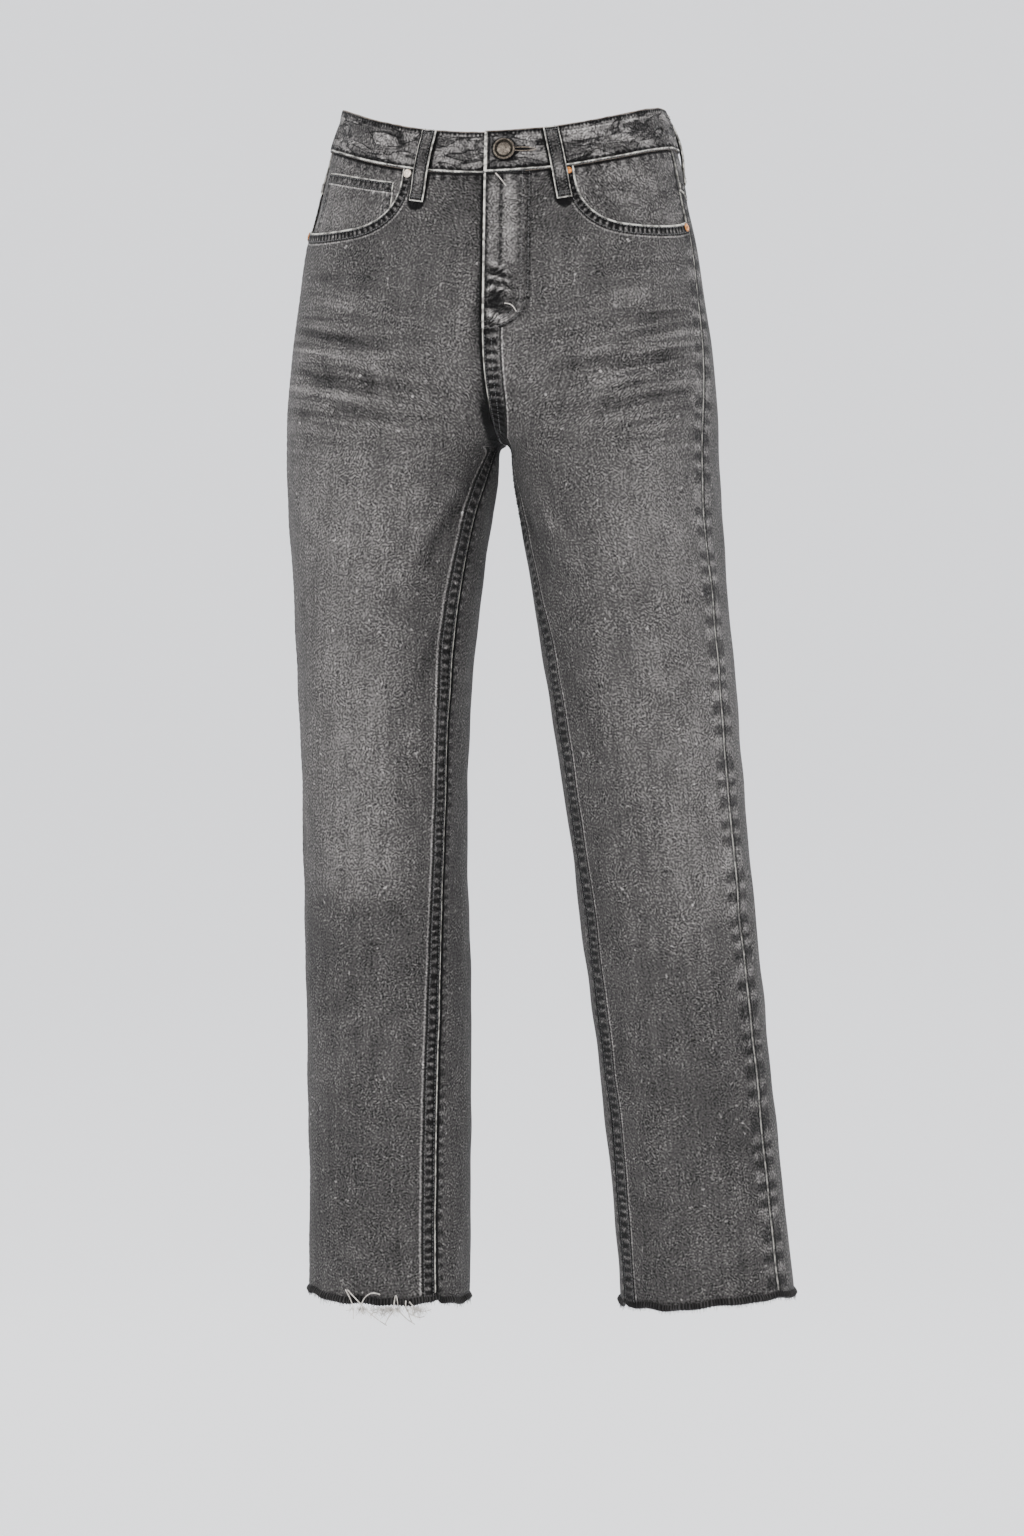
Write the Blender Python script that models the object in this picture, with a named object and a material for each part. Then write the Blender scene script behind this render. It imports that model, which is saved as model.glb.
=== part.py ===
"""Straight-leg five-pocket jeans with raw hems, in the hollow form they have when worn.

Units are metres and +Z is up. The origin is the middle of the waist opening, where the garment is held.
The front faces -Y and the wearer's left is +X. Every panel is a cloth wall laid on one shared surface.
"""

import math
import random

import bmesh
import bpy
import numpy as np
from mathutils import Matrix, Vector

# Cloth, seams and trim
CLOTH = 0.0012
SEAM_GAP = 0.0003
SEAM_TRIM = 0.0002
BAND_HEIGHT = 0.035
BAND_THICKNESS = 0.0028
BAND_PROUD = 0.0008
TAB_PROUD = 0.0024
UNDERLAP_SUNK = -0.0007
UNDERLAP_REACH = 13.0
TAB_RAMP = (14.0, 19.5)

# Body of the garment
CROTCH_HEIGHT = -0.258
FRONT_CURVE_HEIGHT = 0.085
BACK_CURVE_HEIGHT = 0.110
ARCH_HEIGHT = 0.010
BLEND_BELOW = 0.075
LEFT = 1
RIGHT = -1
SIDE_NAMES = {LEFT: "left", RIGHT: "right"}

# Waist edge: its height at the front, at the back and over each hip
WAIST_FRONT = -0.0085
WAIST_BACK = 0.0220
WAIST_HIP = {LEFT: 0.0215, RIGHT: 0.0275}

# Hem: its height at the inseam, and how much higher the outer side ends
HEM_HEIGHT = -0.9885
HEM_RISE = {LEFT: 0.0110, RIGHT: 0.0050}
HEM_BAND = 0.0062

# Torso sections
TORSO_COLUMNS = ("height", "shift", "half_width", "front_depth", "back_depth")
TORSO_ROWS = (
    (0.060, 0.0000, 0.1300, 0.086, 0.096),
    (0.024, 0.0000, 0.1377, 0.090, 0.100),
    (-0.008, 0.0000, 0.1478, 0.094, 0.104),
    (-0.026, -0.0004, 0.1522, 0.097, 0.108),
    (-0.058, -0.0015, 0.1587, 0.101, 0.113),
    (-0.090, -0.0022, 0.1665, 0.104, 0.119),
    (-0.136, -0.0020, 0.1733, 0.108, 0.125),
    (-0.179, -0.0018, 0.1793, 0.110, 0.126),
    (-0.204, -0.0018, 0.1815, 0.110, 0.124),
    (-0.238, -0.0015, 0.1842, 0.108, 0.118),
    (-0.280, -0.0010, 0.1849, 0.106, 0.114),
)

# Leg sections: how far the middle is from the centre plane and how far back, then the half sizes
LEG_COLUMNS = ("height", "out", "back", "half_width", "front_depth", "back_depth")
LEG_ROWS = {
    RIGHT: (
        (-0.180, 0.0950, 0.004, 0.0915, 0.108, 0.112),
        (-0.255, 0.0955, 0.004, 0.0907, 0.104, 0.106),
        (-0.289, 0.0962, 0.003, 0.0890, 0.102, 0.104),
        (-0.323, 0.0973, 0.001, 0.0862, 0.099, 0.099),
        (-0.391, 0.0992, -0.003, 0.0793, 0.091, 0.089),
        (-0.476, 0.1008, -0.006, 0.0734, 0.083, 0.080),
        (-0.587, 0.1006, -0.006, 0.0699, 0.074, 0.072),
        (-0.731, 0.0995, 0.002, 0.0706, 0.066, 0.070),
        (-0.867, 0.0997, 0.010, 0.0696, 0.061, 0.066),
        (-1.000, 0.1012, 0.014, 0.0687, 0.057, 0.062),
    ),
    LEFT: (
        (-0.180, 0.0950, 0.004, 0.0885, 0.108, 0.112),
        (-0.255, 0.0952, 0.004, 0.0874, 0.104, 0.106),
        (-0.289, 0.0973, 0.003, 0.0868, 0.102, 0.104),
        (-0.323, 0.1009, 0.001, 0.0851, 0.099, 0.099),
        (-0.391, 0.1097, -0.003, 0.0824, 0.091, 0.089),
        (-0.476, 0.1207, -0.006, 0.0790, 0.083, 0.080),
        (-0.587, 0.1335, -0.006, 0.0753, 0.074, 0.072),
        (-0.731, 0.1489, 0.002, 0.0732, 0.066, 0.070),
        (-0.867, 0.1629, 0.010, 0.0721, 0.061, 0.066),
        (-1.000, 0.1745, 0.014, 0.0742, 0.057, 0.062),
    ),
}

# Where the seams run round each leg, in degrees: 0 inside, 90 front, 180 outside, 270 back
SEAM_COLUMNS = ("height", "inseam", "outseam")
SEAM_ROWS = {
    RIGHT: (
        (0.060, 0.0, 168.0),
        (-0.080, 0.0, 170.0),
        (-0.200, 0.0, 172.0),
        (-0.258, 0.0, 171.0),
        (-0.275, 9.0, 170.5),
        (-0.308, 20.0, 170.0),
        (-0.360, 26.5, 169.0),
        (-0.446, 29.5, 169.0),
        (-0.586, 33.0, 171.0),
        (-0.725, 41.5, 175.0),
        (-0.890, 46.5, 178.0),
        (-1.000, 45.0, 178.0),
    ),
    LEFT: (
        (0.060, 0.0, 154.0),
        (-0.030, 0.0, 159.0),
        (-0.080, 0.0, 161.5),
        (-0.120, 0.0, 160.0),
        (-0.160, 0.0, 156.0),
        (-0.210, 0.0, 152.0),
        (-0.258, 0.0, 151.0),
        (-0.275, 7.0, 151.5),
        (-0.308, 15.0, 152.0),
        (-0.380, 24.0, 153.0),
        (-0.446, 28.0, 152.5),
        (-0.594, 29.0, 150.5),
        (-0.753, 29.0, 150.5),
        (-0.896, 27.0, 150.5),
        (-1.000, 26.0, 149.5),
    ),
}

# Front pocket mouth: where it starts across the front, its depth, and how far it rises to the side seam
MOUTH_START = {LEFT: 0.355, RIGHT: 0.318}
MOUTH_ROUND = 0.27
MOUTH_DROP = 0.047
MOUTH_RISE = 0.009
FACING_MARGIN = 0.012
FACING_CLOTH = 0.0010
FACING_SUNK = {LEFT: CLOTH + SEAM_GAP, RIGHT: CLOTH + FACING_CLOTH + 2 * SEAM_GAP}
COIN_COLUMNS = (6, 12)
COIN_TUCK = 0.010
COIN_TOP = {"inner": 0.012, "outer": 0.017}

# Columns of a front panel, counted from where the pocket mouth starts, and of a back panel
BEFORE_MOUTH = (0.0, 0.33, 0.62, 0.83)
AFTER_MOUTH = (0.0, 0.012, 0.036, 0.075, 0.140, 0.270, 0.390, 0.505)
BACK_COLUMNS = (0.0, 0.08, 0.17, 0.27, 0.38, 0.49, 0.60, 0.70, 0.79, 0.87, 0.94, 1.0)

# Rows of a panel: steps down from the crotch and up from it, then shares of the way to its top edge
ROWS_BELOW_CROTCH = (0.001, 0.003, 0.006, 0.011, 0.022, 0.045, 0.080)
LEG_ROW_COUNT = 12
ROWS_ABOVE_CROTCH = (0.0012, 0.005, 0.011, 0.020, 0.032, 0.048, 0.068, 0.092, 0.116, 0.138, 0.158)
TOP_SHARES = (0.4, 0.75, 1.0)
BEYOND_EDGE = 0.04

# Yoke, fly, pockets and loops
YOKE_AT_SIDE = 0.035
YOKE_AT_CENTRE = 0.070
FLY_WIDTH = 0.040
FLY_STRAIGHT = -0.145
FLY_BOTTOM = -0.1755
FLY_THICKNESS = 0.0013
POCKET_THICKNESS = 0.0014
BACK_POCKET = {"from_centre": 0.092, "below_yoke": 0.014, "top_width": 0.140, "foot_width": 0.116}
BACK_POCKET_HEIGHT = 0.120
BACK_POCKET_POINT = 0.020
BACK_POCKET_LIFT = 0.0009
LOOP_WIDTH = 0.0125
LOOP_THICKNESS = 0.0018
LOOP_COLUMNS = ("below_waist", "lift")
LOOP_ROWS = (
    (0.0005, 0.0011),
    (0.0080, 0.0011),
    (0.0140, 0.0024),
    (0.0260, 0.0030),
    (0.0380, 0.0027),
    (0.0470, 0.0013),
    (0.0530, 0.0004),
    (0.0620, 0.0004),
)

# Belt loops: the side, and the distance from the centre front or back at the top and at the foot
LOOP_PLACES = {
    "belt_loop_front_left": (LEFT, "front", 0.054, 0.067),
    "belt_loop_front_right": (RIGHT, "front", 0.047, 0.058),
    "belt_loop_side_left": (LEFT, "front", 0.204, 0.216),
    "belt_loop_side_right": (RIGHT, "front", 0.204, 0.216),
    "belt_loop_back": (LEFT, "back", 0.000, 0.000),
}

# Metal trim
BUTTON_RADIUS = 0.0090
BUTTON_FROM_CENTRE = 0.0165
BUTTON_BELOW_WAIST = 0.0165
SHANK_RADIUS = 0.0030
BUTTON_HOLE_RADIUS = 0.0034
RIVET_RADIUS = 0.0036
RIVET_HEIGHT = 0.0013

# Fringe of the raw hems
FRINGE_STATIONS = 30
FRINGE_ROOT = 0.0022
FRINGE_SEED = 7
LONG_THREADS = {RIGHT: (7, 8, 10, 11, 12), LEFT: ()}


def along(rows, column, height):
    """A table's column at any height, on a smooth curve through its rows."""
    table = np.array(rows)[::-1]
    places = table[:, 0]
    values = table[:, column]
    slopes = np.gradient(values, places)
    height = np.clip(height, places[0], places[-1])
    below = np.clip(np.searchsorted(places, height, side="right") - 1, 0, len(places) - 2)
    step = places[below + 1] - places[below]
    t = (height - places[below]) / step
    return (
        (2 * t**3 - 3 * t**2 + 1) * values[below]
        + (t**3 - 2 * t**2 + t) * step * slopes[below]
        + (3 * t**2 - 2 * t**3) * values[below + 1]
        + (t**3 - t**2) * step * slopes[below + 1]
    )


def ease(share):
    share = np.clip(share, 0.0, 1.0)
    return share * share * (3 - 2 * share)


def torso_share(turn, height):
    """How far the surface has left the leg's ring for the torso's, from 0 to 1."""
    nearness = ((1 + np.cos(turn)) / 2) ** 5
    curve = np.where(np.sin(turn) >= 0, FRONT_CURVE_HEIGHT, BACK_CURVE_HEIGHT)
    start = CROTCH_HEIGHT - BLEND_BELOW * (1 - nearness)
    rise = np.clip((height - start) / (curve + BLEND_BELOW * (1 - nearness)), 0.0, 1.0)
    inner = np.sqrt(1 - (1 - rise) ** 2)
    return inner * nearness**1.5 + ease(rise) * (1 - nearness**1.5)


def surface(side, turn, height):
    """A point of the worn surface. turn is the angle round the leg in radians, 0 at its inside."""
    turn = np.asarray(turn, float)
    height = np.asarray(height, float)
    out, back, half, front_depth, back_depth = (
        along(LEG_ROWS[side], column, height) for column in range(1, len(LEG_COLUMNS))
    )
    depth = np.where(np.sin(turn) >= 0, front_depth, back_depth)
    drop = np.clip((CROTCH_HEIGHT - height) / ARCH_HEIGHT, 0.0, 1.0)
    arch = np.sqrt(1 - (1 - drop) ** 2)
    pulled_in = (out - half) * (1 - arch) * ((1 + np.cos(turn)) / 2) ** 16
    leg = np.stack(
        [side * (out - half * np.cos(turn) - pulled_in), back - depth * np.sin(turn), height], -1
    )
    shift, wide, front, rear = (
        along(TORSO_ROWS, column, height) for column in range(1, len(TORSO_COLUMNS))
    )
    half_turn = turn / 2
    reach = np.where(np.cos(half_turn) >= 0, front, rear)
    torso = np.stack(
        [
            side * wide * np.sin(half_turn) + shift * np.sin(half_turn) ** 2,
            -reach * np.cos(half_turn),
            height,
        ],
        -1,
    )
    share = torso_share(turn, height)[..., None]
    return leg * (1 - share) + torso * share


def seam_turn(side, which, height):
    """The turn of a leg seam. Above the crotch the inner one is the centre seam, at no turn."""
    turn = np.radians(along(SEAM_ROWS[side], SEAM_COLUMNS.index(which), height))
    if which == "inseam":
        return np.where(np.asarray(height) >= CROTCH_HEIGHT, 0.0, np.maximum(turn, 0.0))
    return turn


def outward(side, turn, height):
    """Unit normal of the surface, away from the wearer."""
    step = 0.001
    across = surface(side, turn + step, height) - surface(side, turn - step, height)
    up = surface(side, turn, height + step) - surface(side, turn, height - step)
    normal = side * np.cross(across, up)
    return normal / np.linalg.norm(normal, axis=-1, keepdims=True)


def turn_at(side, height, distance, start=0.0):
    """The turn that lies this far along the section at a height, measured from the turn start."""
    turns = np.linspace(start, start + math.copysign(2.2 * math.pi, distance or 1.0), 500)
    points = surface(side, turns, np.full(len(turns), height))
    lengths = np.concatenate([[0.0], np.cumsum(np.linalg.norm(np.diff(points, axis=0), axis=1))])
    return float(np.interp(abs(distance), lengths, turns))


def waist_height(side, turn):
    """Height of the waistband's top edge."""
    sideways = np.sin(turn / 2) ** 2
    end = np.where(np.cos(turn / 2) >= 0, WAIST_FRONT, WAIST_BACK)
    return end + (WAIST_HIP[side] - end) * sideways


def waist_seam(side, turn):
    return waist_height(side, turn) - BAND_HEIGHT - SEAM_GAP


def yoke_seam(side, turn):
    """Height of the seam between yoke and back panel, a shallow V with its point at the centre back."""
    start = seam_turn(side, "outseam", -0.05)
    share = np.clip((turn - start) / (2 * math.pi - start), 0.0, 1.0)
    return waist_seam(side, turn) - YOKE_AT_SIDE - (YOKE_AT_CENTRE - YOKE_AT_SIDE) * share


def front_turn(side, share, height):
    """The turn at a share of the way across the front panel."""
    first = seam_turn(side, "inseam", height)
    return first + (seam_turn(side, "outseam", height) - first) * share


def back_turn(side, share, height):
    """The turn at a share of the way across the back panel, from the side seam."""
    first = seam_turn(side, "outseam", height)
    return first + (2 * math.pi + seam_turn(side, "inseam", height) - first) * share


def edge_height(side, share, turn_across, edge):
    """Where a column of a panel meets an edge whose height depends on the turn."""
    height = -0.05
    for _ in range(5):
        height = float(edge(side, turn_across(side, share, height)))
    return height


def mouth_edge(side, share, start, drop):
    """Height of a curve like the front pocket's mouth, from the waist seam down and out to the side."""
    top = edge_height(side, start, front_turn, waist_seam)
    round_part = np.clip((share - start) / MOUTH_ROUND, 0.0, 1.0)
    rest = np.clip((share - start - MOUTH_ROUND) / (1 - start - MOUTH_ROUND), 0.0, 1.0)
    return top - drop * (1 - (1 - round_part) ** 3) ** 0.37 + MOUTH_RISE * rest**2


def pocket_mouth(side, share):
    return mouth_edge(side, share, MOUTH_START[side], MOUTH_DROP)


def hem_height(side, turn):
    return HEM_HEIGHT + HEM_RISE[side] * (1 - np.cos(turn)) / 2


def add_object(name, bm, colour, roughness, metallic=0.0):
    """Makes the named object, with its faces out and a material of its own."""
    bmesh.ops.recalc_face_normals(bm, faces=bm.faces)
    mesh = bpy.data.meshes.new(name)
    bm.to_mesh(mesh)
    bm.free()
    mesh.shade_smooth()
    mesh.set_sharp_from_angle(angle=math.radians(40))
    material = bpy.data.materials.new(name)
    material.use_nodes = True
    shader = material.node_tree.nodes["Principled BSDF"]
    shader.inputs["Base Color"].default_value = (*colour, 1.0)
    shader.inputs["Roughness"].default_value = roughness
    shader.inputs["Metallic"].default_value = metallic
    mesh.materials.append(material)
    obj = bpy.data.objects.new(name, mesh)
    bpy.context.scene.collection.objects.link(obj)
    return obj


def grid_normals(grid, side):
    """Unit normals of a grid of points, rows going up and columns going round, away from the wearer."""
    across = np.gradient(grid, axis=1)
    up = np.gradient(grid, axis=0)
    normals = side * np.cross(across, up)
    return normals / np.linalg.norm(normals, axis=-1, keepdims=True)


def wall(outer, inner, closed=False):
    """A closed wall between two grids of points. A closed wall's last column joins its first."""
    rows, columns = outer.shape[:2]
    bm = bmesh.new()
    skins = [
        [[bm.verts.new(Vector(point)) for point in row] for row in grid] for grid in (outer, inner)
    ]
    spans = columns if closed else columns - 1
    for skin in skins:
        for row in range(rows - 1):
            for column in range(spans):
                after = (column + 1) % columns
                corners = (
                    skin[row][column],
                    skin[row][after],
                    skin[row + 1][after],
                    skin[row + 1][column],
                )
                bm.faces.new(corners if skin is skins[0] else corners[::-1])
    for row in (0, rows - 1):
        for column in range(spans):
            after = (column + 1) % columns
            corners = (skins[0][row][column], skins[1][row][column], skins[1][row][after], skins[0][row][after])
            bm.faces.new(corners if row == 0 else corners[::-1])
    if not closed:
        for column in (0, columns - 1):
            for row in range(rows - 1):
                corners = (
                    skins[0][row][column],
                    skins[0][row + 1][column],
                    skins[1][row + 1][column],
                    skins[1][row][column],
                )
                bm.faces.new(corners if column == 0 else corners[::-1])
    return bm


def cloth(grid, side, lift=0.0, thickness=CLOTH, spare=False):
    """A wall of cloth whose outer skin lies this far outside the grid, kept off the centre plane. A grid
    with spare columns has one past each side edge, which shapes the edge and is left out."""
    normals = grid_normals(grid, side)
    if spare:
        grid = grid[:, 1:-1]
        normals = normals[:, 1:-1]
    outer = grid + normals * lift
    inner = grid + normals * (lift - thickness)
    for skin in (outer, inner):
        skin[..., 0] = side * np.maximum(side * skin[..., 0], SEAM_GAP / 2)
    return wall(outer, inner)


def column_points(side, share, heights, turn_across):
    """Points up one column of a panel, trimmed a little at the panel's side edges."""
    turns = turn_across(side, share, heights)
    speed = np.linalg.norm(
        surface(side, turns + 0.005, heights) - surface(side, turns - 0.005, heights), axis=-1
    )
    trim = (1 - 2 * min(max(share, 0.0), 1.0)) * SEAM_TRIM
    return surface(side, turns + trim / (speed / 0.01), heights)


def with_spares(shares):
    return [shares[0] - BEYOND_EDGE, *shares, shares[-1] + BEYOND_EDGE]


def panel_heights(low, high):
    """Heights of a panel's rows, close together where the legs part."""
    leg_top = CROTCH_HEIGHT - ROWS_BELOW_CROTCH[-1]
    heights = list(np.linspace(low, leg_top, LEG_ROW_COUNT, endpoint=False))
    heights += [CROTCH_HEIGHT - step for step in reversed(ROWS_BELOW_CROTCH)]
    heights += [CROTCH_HEIGHT]
    heights += [CROTCH_HEIGHT + step for step in ROWS_ABOVE_CROTCH]
    heights += [heights[-1] + (high - heights[-1]) * part for part in TOP_SHARES]
    return np.array(heights)


def make_panel(name, side, shares, turn_across, top, colour):
    """A front or back panel, from the hem band up to its top edge."""
    columns = []
    for share in with_spares(shares):
        inside = min(max(share, 0.0), 1.0)
        low = float(hem_height(side, turn_across(side, inside, HEM_HEIGHT))) + HEM_BAND + SEAM_GAP
        heights = panel_heights(low, top(inside))
        columns.append(column_points(side, share, heights, turn_across))
    bm = cloth(np.stack(columns, 1), side, spare=True)
    add_object(name + SIDE_NAMES[side], bm, colour, 0.9)


def front_shares(side):
    start = MOUTH_START[side]
    shares = [share * start for share in BEFORE_MOUTH]
    shares += [start + share for share in AFTER_MOUTH]
    return shares + [0.5 * (shares[-1] + 1.0), 1.0]


def make_front(side):
    def top(share):
        if share > MOUTH_START[side]:
            return pocket_mouth(side, share)
        return edge_height(side, share, front_turn, waist_seam)

    make_panel("front_", side, front_shares(side), front_turn, top, (0.115, 0.115, 0.118))


def make_back(side):
    def top(share):
        return edge_height(side, share, back_turn, yoke_seam) - SEAM_GAP

    make_panel("back_", side, BACK_COLUMNS, back_turn, top, (0.105, 0.105, 0.108))


def make_yoke(side):
    columns = []
    for share in with_spares(BACK_COLUMNS):
        inside = min(max(share, 0.0), 1.0)
        low = edge_height(side, inside, back_turn, yoke_seam)
        high = edge_height(side, inside, back_turn, waist_seam)
        columns.append(column_points(side, share, np.linspace(low, high, 4), back_turn))
    bm = cloth(np.stack(columns, 1), side, spare=True)
    add_object("yoke_" + SIDE_NAMES[side], bm, (0.110, 0.110, 0.113), 0.9)


def under_mouth_wall(side, shares, foot, top, lift, rows):
    """Cloth behind the pocket mouth, on the same columns as the front panel."""
    columns = []
    for share in with_spares(shares):
        inside = min(max(share, shares[0]), shares[-1])
        heights = np.linspace(float(foot(inside)), float(top(inside)), rows)
        columns.append(column_points(side, share, heights, front_turn))
    return cloth(np.stack(columns, 1), side, lift=lift, thickness=FACING_CLOTH, spare=True)


def make_pocket_facing(side):
    """The cloth that shows inside the mouth of a front pocket."""
    shares = front_shares(side)[len(BEFORE_MOUTH) - 1 :]
    start = shares[0] - 0.02

    def foot(share):
        return mouth_edge(side, share, start, MOUTH_DROP + FACING_MARGIN)

    def top(share):
        return edge_height(side, share, front_turn, waist_seam)

    bm = under_mouth_wall(side, shares, foot, top, -FACING_SUNK[side], rows=5)
    add_object("pocket_facing_" + SIDE_NAMES[side], bm, (0.100, 0.100, 0.103), 0.9)


def make_coin_pocket():
    """The small pocket on the facing of the wearer's right front pocket."""
    shares = front_shares(RIGHT)[COIN_COLUMNS[0] : COIN_COLUMNS[1]]

    def foot(share):
        return pocket_mouth(RIGHT, share) - COIN_TUCK

    def top(share):
        part = (share - shares[0]) / (shares[-1] - shares[0])
        below = COIN_TOP["inner"] + (COIN_TOP["outer"] - COIN_TOP["inner"]) * part
        return edge_height(RIGHT, share, front_turn, waist_seam) - below

    bm = under_mouth_wall(RIGHT, shares, foot, top, -(CLOTH + SEAM_GAP), rows=4)
    add_object("coin_pocket", bm, (0.118, 0.118, 0.121), 0.9)


def make_fly():
    """The doubled fly on the left front, straight along the centre and curved at its outer foot."""
    rows = []
    shares_down = np.sin(np.linspace(0.12, 1.0, 6) * math.pi / 2)
    heights = [FLY_STRAIGHT - (FLY_STRAIGHT - FLY_BOTTOM) * share for share in shares_down[::-1]]
    top = float(waist_seam(LEFT, np.radians(14.0)))
    heights += list(np.linspace(FLY_STRAIGHT, top - 0.0015, 6))
    for height in heights:
        down = np.clip((FLY_STRAIGHT - height) / (FLY_STRAIGHT - FLY_BOTTOM), 0.0, 1.0)
        width = max(FLY_WIDTH * math.sqrt(1 - down**2), 0.006)
        turns = [turn_at(LEFT, height, SEAM_GAP / 2 + (width - SEAM_GAP / 2) * part / 5) for part in range(6)]
        rows.append(surface(LEFT, np.array(turns), np.full(6, height)))
    bm = cloth(np.array(rows), LEFT, lift=SEAM_GAP + FLY_THICKNESS, thickness=FLY_THICKNESS)
    add_object("fly", bm, (0.115, 0.115, 0.118), 0.9)


def make_back_pocket(side):
    """A plain five-sided patch pocket on the back panel."""
    centre_top = float(yoke_seam(side, 1.5 * math.pi)) - BACK_POCKET["below_yoke"]
    rows = []
    for up in np.linspace(0.0, 1.0, 7):
        row = []
        for part in np.linspace(-1.0, 1.0, 13):
            foot = centre_top - BACK_POCKET_HEIGHT - BACK_POCKET_POINT * (1 - abs(part))
            height = foot + (centre_top - foot) * up
            width = BACK_POCKET["foot_width"] + (BACK_POCKET["top_width"] - BACK_POCKET["foot_width"]) * up
            distance = BACK_POCKET["from_centre"] - part * width / 2
            turn = turn_at(side, height, -distance, start=2 * math.pi)
            row.append(surface(side, turn, height))
        rows.append(row)
    bm = cloth(np.array(rows), side, lift=BACK_POCKET_LIFT + POCKET_THICKNESS, thickness=POCKET_THICKNESS)
    add_object("back_pocket_" + SIDE_NAMES[side], bm, (0.118, 0.118, 0.121), 0.9)


def band_lift(side, half_turn, under):
    """How far the waistband's outer skin stands off the surface, with its end lapped over the other."""
    if under:
        return UNDERLAP_SUNK
    if side == LEFT:
        start, end = np.radians(TAB_RAMP)
        share = 1 - ease((half_turn - start) / (end - start))
        return BAND_PROUD + (TAB_PROUD - BAND_PROUD) * float(share)
    share = 1 - ease(half_turn / math.radians(13))
    return BAND_PROUD + (UNDERLAP_SUNK - BAND_PROUD) * float(share)


def band_stations():
    """Stops round the waistband, from the end of the tab on top to the end of the underlap."""
    near_front = [0.1, 4, 8, 11, TAB_RAMP[0], 17, TAB_RAMP[1], 25, 31]
    rest = list(range(38, 180, 9))
    stations = [(LEFT, math.radians(half), False) for half in near_front + rest]
    stations += [(RIGHT, math.radians(half), False) for half in [180] + rest[::-1]]
    stations += [(RIGHT, math.radians(half), False) for half in (31, 25, 20, 16, 12, 8, 4)]
    stations += [(LEFT, math.radians(half), True) for half in (0, 4, 8, 11, UNDERLAP_REACH)]
    return stations


def make_waistband():
    """One long band whose left end laps over its right end, with a hole for the button's shank."""
    profile = (
        (BAND_HEIGHT, 0.0),
        (BAND_HEIGHT / 2, 0.0002),
        (0.0016, 0.0),
        (0.0, -0.0009),
    )
    outer = []
    inner = []
    for side, half_turn, under in band_stations():
        turn = 2 * half_turn
        top = float(waist_height(side, turn))
        lift = band_lift(side, half_turn, under)
        normal = outward(side, turn, top - BAND_HEIGHT / 2)
        outer.append([surface(side, turn, top - below) + normal * (lift + more) for below, more in profile])
        back = [surface(side, turn, top - below) + normal * (lift - BAND_THICKNESS) for below, _ in profile]
        inner.append(back)
    outer = np.array(outer).transpose(1, 0, 2)
    inner = np.array(inner).transpose(1, 0, 2)
    band = add_object("waistband", wall(outer, inner), (0.108, 0.108, 0.111), 0.9)
    place, normal = button_seat()
    cutter_mesh = bmesh.new()
    reach = 0.012
    bmesh.ops.create_cone(
        cutter_mesh,
        cap_ends=True,
        segments=20,
        radius1=BUTTON_HOLE_RADIUS,
        radius2=BUTTON_HOLE_RADIUS,
        depth=reach,
    )
    cutter = add_object("button_hole_cutter", cutter_mesh, (0.5, 0.5, 0.5), 0.5)
    cutter.hide_render = True
    cutter.display_type = "WIRE"
    foot = UNDERLAP_SUNK + SEAM_GAP / 2
    cutter.matrix_world = seated(place + normal * (foot + reach / 2), normal)
    cut = band.modifiers.new("button hole", "BOOLEAN")
    cut.operation = "DIFFERENCE"
    cut.object = cutter


def button_seat():
    """The point of the surface under the button, and the direction that the button faces."""
    height = WAIST_FRONT - BUTTON_BELOW_WAIST
    turn = turn_at(LEFT, height, BUTTON_FROM_CENTRE)
    return Vector(surface(LEFT, turn, height)), Vector(outward(LEFT, turn, height))


def seated(place, normal):
    """A matrix that stands a piece's own Z on a place, along the normal."""
    return Matrix.Translation(place) @ normal.to_track_quat("Z", "Y").to_matrix().to_4x4()


def turned(profile, segments):
    """A round closed shape from (radius, height) pairs, from its foot to its top, both ends on the axis."""
    bm = bmesh.new()
    rings = []
    for radius, height in profile[1:-1]:
        angles = [2 * math.pi * step / segments for step in range(segments)]
        rings.append([bm.verts.new((radius * math.cos(a), radius * math.sin(a), height)) for a in angles])
    for low, high in zip(rings, rings[1:]):
        for step in range(segments):
            after = (step + 1) % segments
            bm.faces.new((low[step], low[after], high[after], high[step]))
    for ring, end in ((rings[0], profile[0]), (rings[-1], profile[-1])):
        tip = bm.verts.new((0.0, 0.0, end[1]))
        for step in range(segments):
            bm.faces.new((tip, ring[step], ring[(step + 1) % segments]))
    return bm


def make_button():
    """A plain dished metal button on a shank that passes through the tab to the underlap."""
    place, normal = button_seat()
    foot = UNDERLAP_SUNK + SEAM_GAP
    under_head = TAB_PROUD + 0.0005
    profile = (
        (0.0, foot),
        (SHANK_RADIUS, foot),
        (SHANK_RADIUS, under_head),
        (BUTTON_RADIUS - 0.0006, under_head),
        (BUTTON_RADIUS, under_head + 0.0008),
        (BUTTON_RADIUS - 0.0004, under_head + 0.0019),
        (BUTTON_RADIUS - 0.0014, under_head + 0.0022),
        (BUTTON_RADIUS - 0.0026, under_head + 0.0016),
        (0.0, under_head + 0.0013),
    )
    button = add_object("button", turned(profile, 24), (0.16, 0.14, 0.12), 0.4, metallic=1.0)
    button.matrix_world = seated(place, normal)


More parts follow.
